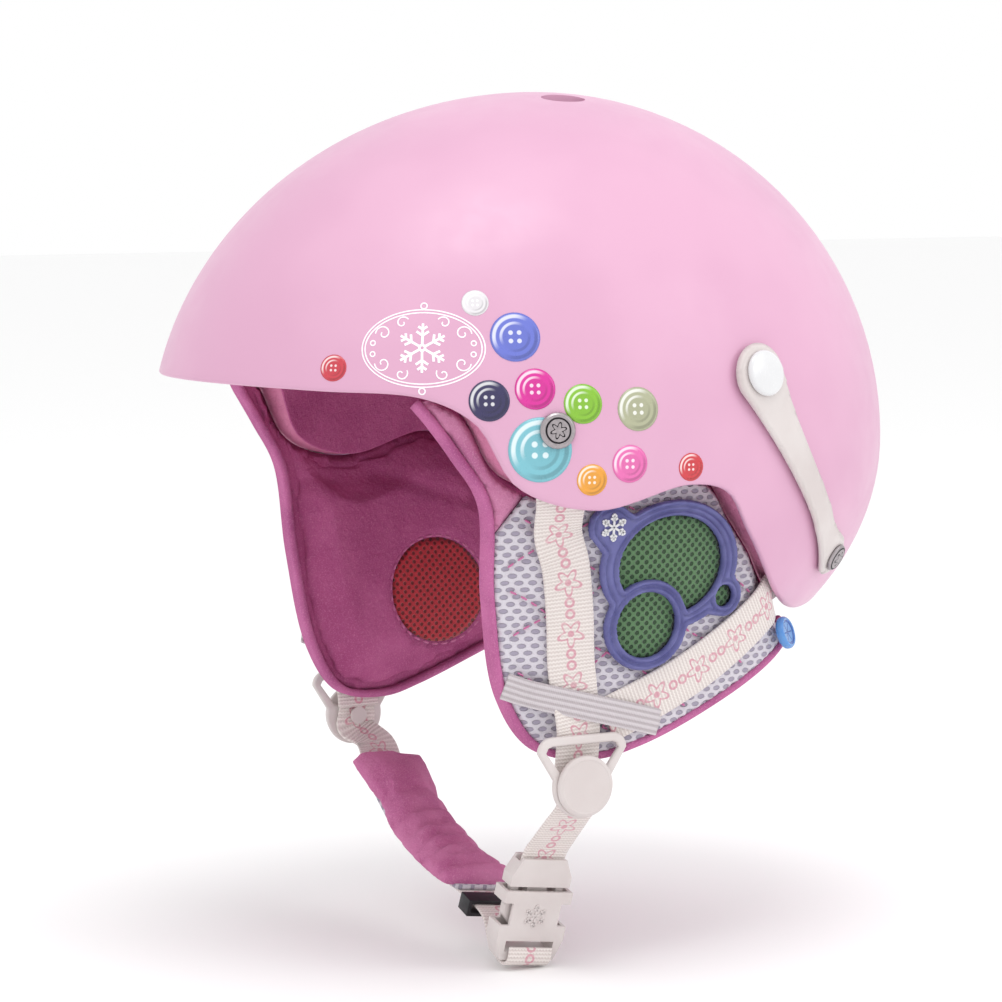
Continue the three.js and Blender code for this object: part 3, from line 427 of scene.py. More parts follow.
def lathe(name, profile, matrix, side=1, steps=48):
    """A turned piece about matrix's Z. Its UV is its (x, y) in millimetres."""
    verts, faces, uv = [], [], []
    for radius, height in profile:
        for i in range(steps):
            angle = 2 * math.pi * i / steps
            local = Vector((radius * math.cos(angle), radius * math.sin(angle), height))
            verts.append(matrix @ local)
            uv.append((local.x, local.y))
    rows = len(profile)
    for row in range(rows - 1):
        for i in range(steps):
            j = (i + 1) % steps
            low, high = row * steps, (row + 1) * steps
            faces.append((low + i, low + j, high + j, high + i))
    obj = make(name, verts, faces, side, uv)
    work = bmesh.new()
    work.from_mesh(obj.data)
    bmesh.ops.remove_doubles(work, verts=work.verts, dist=0.005 * MM)
    bmesh.ops.recalc_face_normals(work, faces=work.faces)
    if work.calc_volume(signed=True) < 0:
        bmesh.ops.reverse_faces(work, faces=work.faces)
    work.to_mesh(obj.data)
    work.free()
    smooth_by_angle(obj, 40)
    return obj


def rounded(profile, radius, steps=4):
    """A lathe profile with its inner corners rounded."""
    result = [profile[0]]
    for before, corner, after in zip(profile, profile[1:], profile[2:]):
        a, b, c = (np.array(p, float) for p in (before, corner, after))
        reach = min(radius, np.linalg.norm(a - b) / 2, np.linalg.norm(c - b) / 2)
        start = b + (a - b) / np.linalg.norm(a - b) * reach
        end = b + (c - b) / np.linalg.norm(c - b) * reach
        for i in range(steps + 1):
            t = i / steps
            result.append(tuple((1 - t) ** 2 * start + 2 * t * (1 - t) * b + t * t * end))
    result.append(profile[-1])
    return result


def moulded(name, loops, thickness, bevel, matrix, side=1):
    """A flat moulded piece with round edges, from closed outlines in matrix's XY plane."""
    curve = bpy.data.curves.new(name, "CURVE")
    curve.dimensions = "2D"
    curve.fill_mode = "BOTH"
    curve.extrude = (thickness / 2 - bevel) * MM
    curve.bevel_depth = bevel * MM
    curve.bevel_resolution = 3
    curve.offset = -bevel * MM
    for points in loops:
        spline = curve.splines.new("POLY")
        spline.points.add(len(points) - 1)
        for point, (x, y) in zip(spline.points, points):
            point.co = (x * MM, y * MM, 0, 1)
        spline.use_cyclic_u = True
    source = bpy.data.objects.new(name + "_curve", curve)
    bpy.context.scene.collection.objects.link(source)
    graph = bpy.context.evaluated_depsgraph_get()
    mesh = bpy.data.meshes.new_from_object(source.evaluated_get(graph))
    bpy.data.objects.remove(source)
    bpy.data.curves.remove(curve)
    place = matrix.copy()
    place.translation = place.translation * MM
    mesh.transform(place)
    if side < 0:
        mesh.transform(Matrix.Scale(-1, 4, (1, 0, 0)))
    work = bmesh.new()
    work.from_mesh(mesh)
    bmesh.ops.remove_doubles(work, verts=work.verts, dist=0.005 * MM)
    work.to_mesh(mesh)
    work.free()
    faces_outwards(mesh)
    mesh.name = name
    obj = bpy.data.objects.new(name, mesh)
    bpy.context.scene.collection.objects.link(obj)
    smooth_by_angle(obj, 35)
    return obj


def bevelled_copy(node, width=0.5):
    """A CAD node's own shape with its edges rounded."""
    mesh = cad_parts[node].data.copy()
    obj = bpy.data.objects.new("fine_" + node, mesh)
    mesh.name = obj.name
    bpy.context.scene.collection.objects.link(obj)
    work = bmesh.new()
    work.from_mesh(mesh)
    bmesh.ops.remove_doubles(work, verts=work.verts, dist=0.01 * MM)
    bmesh.ops.dissolve_limit(work, angle_limit=math.radians(2), verts=work.verts, edges=work.edges)
    work.to_mesh(mesh)
    work.free()
    modifier = obj.modifiers.new("edges", "BEVEL")
    modifier.width = width * MM
    modifier.segments = 3
    modifier.limit_method = "ANGLE"
    modifier.angle_limit = math.radians(25)
    modifier.use_clamp_overlap = True
    bake(obj)
    smooth_by_angle(obj, 40)
    return obj


# ---------------------------------------------------------------- plates on the ear pad


def inside(points, polygon):
    """Which points lie inside a closed polygon."""
    x, y = points[:, 0], points[:, 1]
    result = np.zeros(len(points), bool)
    for (x0, y0), (x1, y1) in zip(polygon, np.roll(polygon, -1, axis=0)):
        if y0 == y1:
            continue
        crosses = (y0 > y) != (y1 > y)
        result ^= crosses & (x < x0 + (y - y0) * (x1 - x0) / (y1 - y0))
    return result


def edge_distance(points, polygons):
    """The distance from each point to the nearest side of the polygons."""
    best = np.full(len(points), 1e9)
    for polygon in polygons:
        for a, b in zip(polygon, np.roll(polygon, -1, axis=0)):
            span = b - a
            t = np.clip((points - a) @ span / max(1e-9, span @ span), 0, 1)
            gap = np.linalg.norm(points - (a + t[:, None] * span), axis=1)
            best = np.minimum(best, gap)
    return best


def even_loop(points, spacing):
    """A closed polygon's outline at an even spacing."""
    closed = np.vstack([points, points[:1]])
    lengths = np.concatenate([[0], np.cumsum(np.linalg.norm(np.diff(closed, axis=0), axis=1))])
    count = max(8, int(lengths[-1] / spacing))
    at = np.linspace(0, lengths[-1], count, endpoint=False)
    return np.stack([np.interp(at, lengths, closed[:, k]) for k in (0, 1)], axis=1)


def circle(y, z, radius, count=48):
    angle = np.linspace(0, 2 * math.pi, count, endpoint=False)
    return np.stack([y + radius * np.cos(angle), z + radius * np.sin(angle)], axis=1)


def pad_place(y, z, depth):
    return pad_face(y, z) + depth


def dome_place(y, z, height):
    return dome_x(inset(SHELL, -height), y, z)


def plate(name, outline, holes, spacing, low, high, side=1, edge=1.5, place=pad_place):
    """A plate on the ear pad or the shell. low and high give its two faces' depths at (y, z,
    distance from the edge); both round off over the last millimetres, edge."""
    rims = [even_loop(loop, spacing) for loop in [outline, *holes]]
    lowest, highest = rims[0].min(axis=0), rims[0].max(axis=0)
    rows = np.arange(lowest[1], highest[1], spacing * 0.87)
    grid = np.array([
        (y + (i % 2) * spacing / 2, z)
        for i, z in enumerate(rows) for y in np.arange(lowest[0], highest[0], spacing)
    ])
    keep = inside(grid, rims[0]) & (edge_distance(grid, rims) > spacing * 0.55)
    for hole in rims[1:]:
        keep &= ~inside(grid, hole)
    points = np.vstack([*rims, grid[keep]])
    edges, start = [], 0
    for loop in rims:
        count = len(loop)
        edges += [(start + i, start + (i + 1) % count) for i in range(count)]
        start += count
    result = delaunay_2d_cdt([Vector(p) for p in points], edges, [], 0, 1e-5)
    flat = np.array([tuple(v) for v in result[0]])
    centres = np.array([flat[list(face)].mean(axis=0) for face in result[2]])
    wanted = inside(centres, rims[0])
    for hole in rims[1:]:
        wanted &= ~inside(centres, hole)
    faces = [face for face, ok in zip(result[2], wanted) if ok]
    gap = edge_distance(flat, rims)
    t = np.clip(gap / edge, 0, 1)
    round_off = np.sqrt(np.maximum(0, 1 - (1 - t) ** 2))
    deep, shallow = low(flat[:, 0], flat[:, 1], gap), high(flat[:, 0], flat[:, 1], gap)
    middle = (deep + shallow) / 2
    count = len(flat)
    verts = []
    for depth in (middle + (shallow - middle) * round_off, middle + (deep - middle) * round_off):
        verts += list(zip(place(flat[:, 0], flat[:, 1], depth), flat[:, 0], flat[:, 1]))
    lower = [tuple(i + count for i in reversed(face)) for face in faces]
    obj = make(name, verts, list(faces) + lower, side)
    work = bmesh.new()
    work.from_mesh(obj.data)
    bmesh.ops.remove_doubles(work, verts=work.verts, dist=0.01 * MM)
    loose = [v for v in work.verts if not v.link_faces]
    bmesh.ops.delete(work, geom=loose, context="VERTS")
    work.to_mesh(obj.data)
    work.free()
    faces_outwards(obj.data)
    return obj


def pad_outline(shrink=0.0, top=1.5):
    """The ear pad's outline, drawn in by shrink, with its top edge level with the rim."""
    edge = catmull(PAD_EDGE, 110)
    ahead = np.gradient(edge, axis=0)
    ahead /= np.linalg.norm(ahead, axis=1)[:, None]
    edge = edge + np.stack([-ahead[:, 1], ahead[:, 0]], axis=1) * shrink
    across = np.linspace(edge[-1, 0], edge[0, 0], 60)[1:-1]
    upper = np.stack([across, rim_height(across) + top - shrink], axis=1)
    keep = upper[:, 1] > np.interp(across, edge[::1, 0][:12], edge[:12, 1], right=-1e9) + 1
    return np.vstack([edge, upper[keep]])


def constant(value):
    return lambda y, z, gap: np.full_like(y, value)


# ---------------------------------------------------------------- materials


class Nodes:
    """A material under construction: short names for the nodes that the materials below use."""

    def __init__(self, name, colour=(0.8, 0.8, 0.8), roughness=0.5, metallic=0.0, **shader):
        self.material = bpy.data.materials.new(name)
        self.material.use_nodes = True
        self.tree = self.material.node_tree
        self.shader = self.tree.nodes["Principled BSDF"]
        self.set("Base Color", (*colour, 1))
        self.set("Roughness", roughness)
        self.set("Metallic", metallic)
        for key, value in shader.items():
            socket = key.replace("_", " ")
            self.set(socket, (*value, 1) if isinstance(value, tuple) else value)

    def set(self, socket, value):
        self.shader.inputs[socket].default_value = value

    def node(self, kind, **values):
        node = self.tree.nodes.new("ShaderNode" + kind)
        for key, value in values.items():
            setattr(node, key, value)
        return node

    def feed(self, socket, value):
        if isinstance(value, bpy.types.NodeSocket):
            self.tree.links.new(value, socket)
        else:
            socket.default_value = value

    def place(self):
        """The point in the part's own frame, in millimetres."""
        where = self.node("TexCoord").outputs["Object"]
        return self.vector("SCALE", where, scale=1000.0)

    def uv(self):
        return self.node("TexCoord").outputs["UV"]

    def vector(self, operation, a, b=None, scale=None):
        node = self.node("VectorMath", operation=operation)
        self.feed(node.inputs[0], a)
        if b is not None:
            self.feed(node.inputs[1], b)
        if scale is not None:
            node.inputs["Scale"].default_value = scale
        return node.outputs["Value"] if operation in ("LENGTH", "DISTANCE") else node.outputs[0]

    def axes(self, vector):
        node = self.node("SeparateXYZ")
        self.feed(node.inputs[0], vector)
        return node.outputs

    def math(self, operation, a, b=0.0, clamp=False):
        node = self.node("Math", operation=operation, use_clamp=clamp)
        self.feed(node.inputs[0], a)
        self.feed(node.inputs[1], b)
        return node.outputs[0]

    def noise(self, vector, scale, detail=3.0, roughness=0.5):
        node = self.node("TexNoise")
        self.feed(node.inputs["Vector"], vector)
        node.inputs["Scale"].default_value = scale
        node.inputs["Detail"].default_value = detail
        node.inputs["Roughness"].default_value = roughness
        return node.outputs["Fac"]

    def cells(self, vector, scale, feature="F1", output="Distance"):
        node = self.node("TexVoronoi", feature=feature)
        self.feed(node.inputs["Vector"], vector)
        node.inputs["Scale"].default_value = scale
        return node.outputs[output]

    def wave(self, coordinate, period):
        """A smooth 0 to 1 wave along a coordinate."""
        return self.half_sine(self.math("MULTIPLY", coordinate, 2 * math.pi / period))

    def half_sine(self, turn):
        wave = self.math("SINE", turn)
        return self.math("ADD", self.math("MULTIPLY", wave, 0.5), 0.5)

    def ramp(self, value, low, high, start=0.0, end=1.0):
        node = self.node("MapRange", interpolation_type="SMOOTHSTEP")
        self.feed(node.inputs["Value"], value)
        for key, number in zip(("From Min", "From Max", "To Min", "To Max"), (low, high, start, end)):
            node.inputs[key].default_value = number
        return node.outputs["Result"]

    def mix(self, factor, a, b):
        node = self.node("Mix", data_type="RGBA")
        self.feed(node.inputs["Factor"], factor)
        for socket, value in ((node.inputs[6], a), (node.inputs[7], b)):
            if isinstance(value, bpy.types.NodeSocket):
                self.tree.links.new(value, socket)
            else:
                socket.default_value = (*value, 1)
        return node.outputs[2]

    def colour(self, value):
        self.feed(self.shader.inputs["Base Color"], value)

    def roughness(self, value, low, high):
        self.feed(self.shader.inputs["Roughness"], self.ramp(value, 0.3, 0.7, low, high))

    def bump(self, height, depth_mm, strength=1.0):
        node = self.node("Bump")
        node.inputs["Strength"].default_value = strength
        node.inputs["Distance"].default_value = depth_mm * MM
        self.feed(node.inputs["Height"], height)
        self.tree.links.new(node.outputs["Normal"], self.shader.inputs["Normal"])


def srgb(red, green, blue):
    """A colour as seen on screen, 0 to 255, in the shader's linear numbers."""
    return tuple(
        c / 12.92 if c <= 0.04045 else ((c + 0.055) / 1.055) ** 2.4
        for c in (red / 255, green / 255, blue / 255)
    )


def paint(obj, material):
    obj.data.materials.clear()
    obj.data.materials.append(material)
    return obj


def shell_material():
    """Satin pink paint over fine orange peel."""
    m = Nodes("shell_paint", roughness=0.42, Coat_Weight=0.18, Coat_Roughness=0.3)
    place = m.place()
    cloud = m.noise(place, 0.02, 2)
    m.colour(m.mix(m.ramp(cloud, 0.35, 0.65), srgb(219, 168, 196), srgb(214, 162, 191)))
    fine = m.noise(place, 1.1, 2)
    m.roughness(m.noise(place, 0.12, 4), 0.38, 0.48)
    m.bump(fine, 0.05, 0.35)
    return m.material


def foam_material():
    """Moulded foam: small packed beads, pink."""
    m = Nodes("foam_beads", roughness=0.7)
    place = m.place()
    edges = m.cells(place, 0.42, "DISTANCE_TO_EDGE")
    tint = m.cells(place, 0.42, "F1", "Color")
    shade = m.axes(tint)[0]
    m.colour(m.mix(m.math("MULTIPLY", shade, 0.5), srgb(214, 132, 168), srgb(200, 114, 152)))
    m.roughness(shade, 0.6, 0.8)
    m.bump(m.ramp(edges, 0.0, 0.12), 0.25, 0.6)
    return m.material


def fleece_material(name, deep, light, highlight_tips):
    """Brushed fleece: short tufts and soft, uneven nap, with a painted highlight that makes the raised
    fibre tips paler.
    """
    m = Nodes(name, roughness=0.92, Sheen_Weight=0.45, Sheen_Roughness=0.45, Sheen_Tint=light)
    place = m.place()
    tufts = m.cells(place, 0.55, "SMOOTH_F1")
    fibres = m.noise(place, 1.9, 5, 0.65)
    nap = m.noise(place, 0.06, 4)
    base = m.mix(m.ramp(nap, 0.3, 0.7), deep, light)
    # painted highlight: the raised fibres are mixed towards the pale tip colour
    m.colour(m.mix(m.math("MULTIPLY", m.ramp(fibres, 0.48, 0.72), 0.55), base, highlight_tips))
    m.roughness(nap, 0.85, 0.97)
    height = m.math("ADD", m.math("MULTIPLY", tufts, -0.7), m.math("MULTIPLY", fibres, 0.9))
    m.bump(height, 0.9, 0.75)
    return m.material


def spacer_mesh_material(name, on_uv=False):
    """Warp-knit spacer cloth: rows of oval holes, each row half a step along, with painted shade in the
    holes.
    """
    m = Nodes(name, roughness=0.75, Sheen_Weight=0.15)
    place = m.axes(m.uv() if on_uv else m.place())
    along, up = (place[1], place[0]) if on_uv else (place[1], place[2])
    row = m.math("FLOOR", m.math("DIVIDE", up, 2.3))
    shift = m.math("MULTIPLY", m.math("MODULO", m.math("ABSOLUTE", row), 2.0), 2.1)
    y = m.math("SUBTRACT", m.math("FLOORED_MODULO", m.math("ADD", along, shift), 4.2), 2.1)
    z = m.math("SUBTRACT", m.math("FLOORED_MODULO", up, 2.3), 1.15)
    far = m.math("POWER", m.math("DIVIDE", y, 1.25), 2.0)
    far = m.math("ADD", far, m.math("POWER", m.math("DIVIDE", z, 0.72), 2.0))
    cloth = m.ramp(far, 0.7, 1.5)
    thread = m.noise(m.place(), 2.4, 3)
    pale = m.mix(thread, srgb(196, 190, 200), srgb(222, 217, 225))
    # painted shade: the holes take the darker grey, where shade falls into them
    m.colour(m.mix(cloth, srgb(160, 152, 170), pale))
    m.roughness(thread, 0.7, 0.85)
    m.bump(m.math("ADD", cloth, m.math("MULTIPLY", thread, 0.25)), 0.5, 0.9)
    return m.material


def perforated_material(name, pale, dark, step=3.0, radius=0.85):
    """Cloth with round holes on a square grid turned by 45 degrees, with painted shade in the holes."""
    m = Nodes(name, roughness=0.65, Sheen_Weight=0.2)
    place = m.axes(m.place())
    a = m.math("ADD", place[1], place[2])
    b = m.math("SUBTRACT", place[1], place[2])
    cells = [m.math("SUBTRACT", m.math("FLOORED_MODULO", v, step), step / 2) for v in (a, b)]
    squares = [m.math("MULTIPLY", v, v) for v in cells]
    far = m.math("SQRT", m.math("ADD", squares[0], squares[1]))
    cloth = m.ramp(far, radius - 0.2, radius + 0.25)
    weave = m.noise(m.place(), 2.6, 3)
    # painted shade: the holes take the dark colour, where shade falls into them
    m.colour(m.mix(cloth, dark, m.mix(weave, pale, tuple(c * 0.8 for c in pale))))
    m.roughness(weave, 0.55, 0.75)
    m.bump(m.math("ADD", cloth, m.math("MULTIPLY", weave, 0.2)), 0.5, 0.9)
    return m.material


def rubber_material(name, colour, dark, roughness=0.5):
    """Moulded rubber or soft plastic with a fine, dusty grain."""
    m = Nodes(name, roughness=roughness, Specular_IOR_Level=0.45)
    place = m.place()
    dust = m.noise(place, 0.15, 4)
    m.colour(m.mix(m.ramp(dust, 0.3, 0.7), colour, dark))
    m.roughness(dust, roughness - 0.08, roughness + 0.12)
    m.bump(m.noise(place, 3.0, 3), 0.06, 0.5)
    return m.material


def stitch_material(name, colour):
    m = Nodes(name, colour, 0.75, Sheen_Weight=0.3)
    place = m.axes(m.place())
    twist = m.wave(m.math("ADD", m.math("ADD", place[0], place[1]), place[2]), 0.5)
    # painted shade: the grooves between the thread's twists are darker
    m.colour(m.mix(twist, tuple(c * 0.75 for c in colour), colour))
    m.roughness(twist, 0.7, 0.85)
    m.bump(twist, 0.1, 0.6)
    return m.material


def webbing_material():
    """Cream webbing: ribs across, with painted shade between the ribs, and flowers and rings printed in
    pink.
    """
    m = Nodes("printed_webbing", roughness=0.8, Sheen_Weight=0.2)
    uv = m.axes(m.uv())
    across, along = uv[0], uv[1]
    warp = m.wave(across, 1.15)
    weft = m.wave(m.math("ADD", along, m.math("MULTIPLY", warp, 0.2)), 1.25)
    wobble = m.noise(m.place(), 0.35, 4)
    tile = 17.0
    y = m.math("SUBTRACT", m.math("FLOORED_MODULO", along, tile), tile / 2)
    far = m.math("SQRT", m.math("ADD", m.math("MULTIPLY", y, y), m.math("MULTIPLY", across, across)))
    angle = m.math("ARCTAN2", y, across)
    petals = m.half_sine(m.math("MULTIPLY", angle, 5.0))
    reach = m.math("ADD", 2.1, m.math("MULTIPLY", petals, 2.3))
    ring = m.math("ABSOLUTE", m.math("SUBTRACT", far, reach))
    flower = m.ramp(ring, 0.25, 0.7, 1.0, 0.0)
    heart = m.ramp(far, 0.9, 1.3, 1.0, 0.0)
    leaf_y = m.math("SUBTRACT", m.math("ABSOLUTE", y), 6.6)
    leaf = m.math("ADD", m.math("MULTIPLY", leaf_y, leaf_y), m.math("MULTIPLY", across, across))
    leaf = m.ramp(m.math("ABSOLUTE", m.math("SUBTRACT", leaf, 1.9)), 0.7, 1.5, 1.0, 0.0)
    ink = m.math("MAXIMUM", m.math("MAXIMUM", flower, heart), leaf)
    ink = m.math("MULTIPLY", ink, m.ramp(wobble, 0.25, 0.5, 0.55, 1.0))
    thread = m.math("ADD", m.math("MULTIPLY", warp, 0.12), m.math("MULTIPLY", weft, 0.88))
    # painted shade: the cream is darker in the hollows of the weave, where the bump is low
    cream = m.mix(thread, srgb(212, 200, 196), srgb(238, 230, 226))
    m.colour(m.mix(m.math("MULTIPLY", ink, 0.66), cream, srgb(206, 116, 144)))
    m.roughness(thread, 0.72, 0.86)
    m.bump(thread, 0.28, 0.8)
    return m.material


def elastic_material():
    """Grey-white ribbed elastic, with painted shade in the grooves between the ribs."""
    m = Nodes("ribbed_elastic", roughness=0.75, Sheen_Weight=0.15)
    uv = m.axes(m.uv())
    rib = m.wave(uv[0], 1.9)
    knit = m.wave(uv[1], 0.6)
    cloth = m.math("ADD", rib, m.math("MULTIPLY", knit, 0.3))
    # painted shade: the grooves between the ribs take the darker grey
    m.colour(m.mix(m.ramp(rib, 0.1, 0.7), srgb(190, 180, 184), srgb(216, 208, 212)))
    m.roughness(knit, 0.7, 0.85)
    m.bump(cloth, 0.45, 0.9)
    return m.material


def plastic_material(name, colour, warm, roughness=0.35, coat=0.0):
    """Moulded plastic: a slight tone drift, fine grain and faint handling marks."""
    m = Nodes(name, roughness=roughness, Coat_Weight=coat, Coat_Roughness=0.12)
    place = m.place()
    drift = m.noise(place, 0.05, 3)
    marks = m.noise(m.vector("MULTIPLY", place, (0.3, 2.2, 0.6)), 1.2, 4, 0.7)
    m.colour(m.mix(m.ramp(drift, 0.3, 0.7), colour, warm))
    m.roughness(marks, roughness - 0.06, roughness + 0.1)
    m.bump(m.noise(place, 2.2, 3), 0.05, 0.4)
    return m.material


def steel_material():
    """Dark antiqued metal, engraved with a small flower inside a ring."""
    m = Nodes("antique_metal", roughness=0.38, metallic=1.0)
    uv = m.axes(m.uv())
    far = m.math("SQRT", m.math("ADD", m.math("MULTIPLY", uv[0], uv[0]), m.math("MULTIPLY", uv[1], uv[1])))
    petals = m.half_sine(m.math("MULTIPLY", m.math("ARCTAN2", uv[1], uv[0]), 6.0))
    reach = m.math("ADD", 1.3, m.math("MULTIPLY", petals, 1.3))
    flower = m.ramp(m.math("ABSOLUTE", m.math("SUBTRACT", far, reach)), 0.12, 0.34)
    ring = m.ramp(m.math("ABSOLUTE", m.math("SUBTRACT", far, 3.9)), 0.15, 0.38)
    engraved = m.math("MINIMUM", flower, ring)
    wear = m.noise(m.place(), 0.9, 5, 0.65)
    metal = m.mix(wear, srgb(138, 132, 136), srgb(196, 188, 190))
    m.colour(m.mix(engraved, srgb(40, 38, 42), metal))
    m.roughness(wear, 0.28, 0.5)
    m.bump(m.math("ADD", engraved, m.math("MULTIPLY", wear, 0.12)), 0.3, 0.9)
    return m.material


def button_material():
    """Translucent blue moulded button with a pressed ring and a snowflake, whose pressed lines are painted
    darker as painted shade.
    """
    m = Nodes("blue_button", roughness=0.15, Transmission_Weight=0.25, Coat_Weight=0.5)
    uv = m.axes(m.uv())
    far = m.math("SQRT", m.math("ADD", m.math("MULTIPLY", uv[0], uv[0]), m.math("MULTIPLY", uv[1], uv[1])))
    spokes = m.math("ABSOLUTE", m.math("SINE", m.math("MULTIPLY", m.math("ARCTAN2", uv[1], uv[0]), 3.0)))
    arm = m.math("MULTIPLY", m.ramp(m.math("MULTIPLY", spokes, far), 0.25, 0.8), 1.0)
    arm = m.math("MAXIMUM", arm, m.ramp(far, 2.9, 3.2))
    ring = m.ramp(m.math("ABSOLUTE", m.math("SUBTRACT", far, 3.8)), 0.15, 0.4)
    cut_in = m.math("MINIMUM", arm, ring)
    haze = m.noise(m.place(), 0.4, 3)
    # painted shade: the pressed ring and snowflake lines take the darker blue, where the bump is low
    m.colour(m.mix(cut_in, srgb(40, 96, 190), m.mix(haze, srgb(70, 140, 226), srgb(110, 176, 240))))
    m.roughness(haze, 0.1, 0.24)
    m.bump(cut_in, 0.3, 0.8)
    return m.material


def print_material(name, colour, radius):
    """A printed sewing button: rim, pressed rings and four holes, in the patch's own UV."""
    m = Nodes(name, roughness=0.3, Coat_Weight=0.35, Coat_Roughness=0.15)
    uv = m.axes(m.vector("SCALE", m.uv(), scale=1.0 / radius))
    x, y = uv[0], uv[1]
    far = m.math("SQRT", m.math("ADD", m.math("MULTIPLY", x, x), m.math("MULTIPLY", y, y)))
    slope = m.math("SUBTRACT", y, x)
    lit = m.ramp(slope, 0.1, 0.9)
    shaded = m.ramp(slope, -0.9, -0.1, 1.0, 0.0)
    rim = m.ramp(m.math("ABSOLUTE", m.math("SUBTRACT", far, 0.84)), 0.04, 0.1, 1.0, 0.0)
    inner = m.ramp(m.math("ABSOLUTE", m.math("SUBTRACT", far, 0.56)), 0.03, 0.08, 1.0, 0.0)
    hole_x = m.math("SUBTRACT", m.math("ABSOLUTE", x), 0.17)
    hole_y = m.math("SUBTRACT", m.math("ABSOLUTE", y), 0.17)
    hole = m.math("ADD", m.math("MULTIPLY", hole_x, hole_x), m.math("MULTIPLY", hole_y, hole_y))
    hole = m.ramp(m.math("SQRT", hole), 0.075, 0.11, 1.0, 0.0)
    dark = tuple(c * 0.45 for c in colour)
    pale = tuple(c + (1 - c) * 0.75 for c in colour)
    tone = m.mix(m.math("MULTIPLY", m.ramp(far, 0.5, 0.62), 0.3), tuple(c * 0.82 for c in colour), colour)
    tone = m.mix(m.math("MULTIPLY", m.math("MULTIPLY", inner, shaded), 0.6), tone, dark)
    tone = m.mix(m.math("MULTIPLY", m.math("MULTIPLY", rim, shaded), 0.7), tone, dark)
    light = m.math("MAXIMUM", m.math("MULTIPLY", rim, lit), m.math("MULTIPLY", inner, lit))
    light = m.math("MAXIMUM", light, hole)
    m.colour(m.mix(m.math("MULTIPLY", light, 0.85), tone, pale))
    m.roughness(m.noise(m.place(), 0.5, 3), 0.24, 0.38)
    m.bump(m.math("SUBTRACT", m.math("ADD", rim, inner), hole), 0.06, 0.4)
    return m.material


def ink_material():
    """White printed line art, slightly worn."""
    m = Nodes("white_print", roughness=0.38)
    wear = m.noise(m.place(), 0.5, 4)
    m.colour(m.mix(m.ramp(wear, 0.3, 0.6), srgb(252, 240, 246), srgb(255, 252, 254)))
    m.roughness(wear, 0.32, 0.45)
    m.bump(wear, 0.03, 0.3)
    return m.material


def floor_material():
    m = Nodes("floor_paper", roughness=0.9, Specular_IOR_Level=0.1)
    grain = m.noise(m.place(), 0.3, 3)
    m.colour(m.mix(m.math("MULTIPLY", grain, 0.1), (0.96, 0.96, 0.96), (0.93, 0.93, 0.935)))
    return m.material


# Each fleece gets three colours: deep and light for its nap, and a paler one for the painted highlight on
# its fibre tips.
PINK_FLEECE = (srgb(196, 112, 158), srgb(214, 136, 176), srgb(236, 176, 206))
PLUM_FLEECE = (srgb(178, 80, 134), srgb(196, 100, 152), srgb(226, 146, 190))

MAT_SHELL = shell_material()
MAT_FOAM = foam_material()
MAT_PLUM = fleece_material("plum_fleece", *PLUM_FLEECE)
MAT_CHIN = fleece_material("chin_fleece", srgb(192, 98, 150), srgb(214, 128, 174), srgb(236, 166, 204))
MAT_PINK = fleece_material("pink_fleece", *PINK_FLEECE)
MAT_SPACER = spacer_mesh_material("spacer_mesh")
MAT_CHIN_SPACER = spacer_mesh_material("chin_spacer_mesh", on_uv=True)
# The darker colour of each perforated mesh is the painted shade in its holes.
MAT_VENT_MESH = perforated_material("green_vent_mesh", srgb(86, 124, 82), srgb(26, 60, 26), 3.1, 1.0)
MAT_EAR_MESH = perforated_material("red_ear_mesh", srgb(196, 52, 62), srgb(112, 26, 30), 3.0, 0.85)
MAT_FRAME = rubber_material("indigo_rubber", srgb(104, 104, 160), srgb(88, 88, 144), 0.45)
MAT_PIPING = fleece_material("piping_fleece", srgb(178, 88, 142), srgb(202, 112, 164), srgb(228, 152, 194))
MAT_STITCH = stitch_material("pink_thread", srgb(218, 120, 172))
MAT_WEBBING = webbing_material()
MAT_ELASTIC = elastic_material()
MAT_IVORY = plastic_material("ivory_plastic", srgb(216, 208, 206), srgb(208, 198, 196), 0.36)
MAT_SNAP = plastic_material("white_snap", srgb(226, 226, 227), srgb(218, 218, 220), 0.2, 0.5)
MAT_STEEL = steel_material()
MAT_BUTTON = button_material()
MAT_BLACK = rubber_material("black_rubber", srgb(34, 33, 38), srgb(22, 22, 26), 0.45)
MAT_INK = ink_material()


def finish_piece(obj, material, body, nodes=()):
    """Paints a piece, lets it ride its body, and hides the CAD nodes that it stands for."""
    if material is not None:
        paint(obj, material)
    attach(obj, body)
    if nodes:
        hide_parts(*nodes)
    return obj


# ---------------------------------------------------------------- shell, liner and comfort pads


def dome_ring(form, rise, share, angles):
    low = rim_lift(form, angles, rise)
    return dome_point(form, angles, low + (math.pi / 2 - low) * share)


def dome_solid(name, outer, inner, rise, lip, turns, rows, shift=None):
    """A closed dome between two forms, with a rounded lip along the rim raised by rise."""
    angles = np.linspace(0, 2 * math.pi, turns, endpoint=False)
    shares = (np.arange(rows) / rows) ** 1.15
    outside = [dome_ring(outer, rise + lip, share, angles) for share in shares[::-1]]
    if shift is not None:
        outside = [shift(ring) for ring in outside]
    edge = []
    for i in range(1, 8):
        turn = math.pi * i / 8
        share = (1 - math.cos(turn)) / 2
        form = {key: outer[key] + (inner[key] - outer[key]) * share for key in outer}
        edge.append(dome_ring(form, rise + lip * (1 - math.sin(turn)), 0, angles))
    inside_rings = [dome_ring(inner, rise + lip, share, angles) for share in shares]
    rings = outside + edge + inside_rings
    verts = [point for ring in rings for point in ring]
    faces = []
    for row in range(len(rings) - 1):
        for i in range(turns):
            j = (i + 1) % turns
            a, b = row * turns, (row + 1) * turns
            faces.append((a + i, a + j, b + j, b + i))
    poles = ((0, outer["up"], 0), (1, inner["up"], (len(rings) - 1) * turns))
    for _, height, start in poles:
        verts.append((0, 0, height))
        faces += [(len(verts) - 1, start + i, start + (i + 1) % turns) for i in range(turns)]
    return make(name, verts, faces)


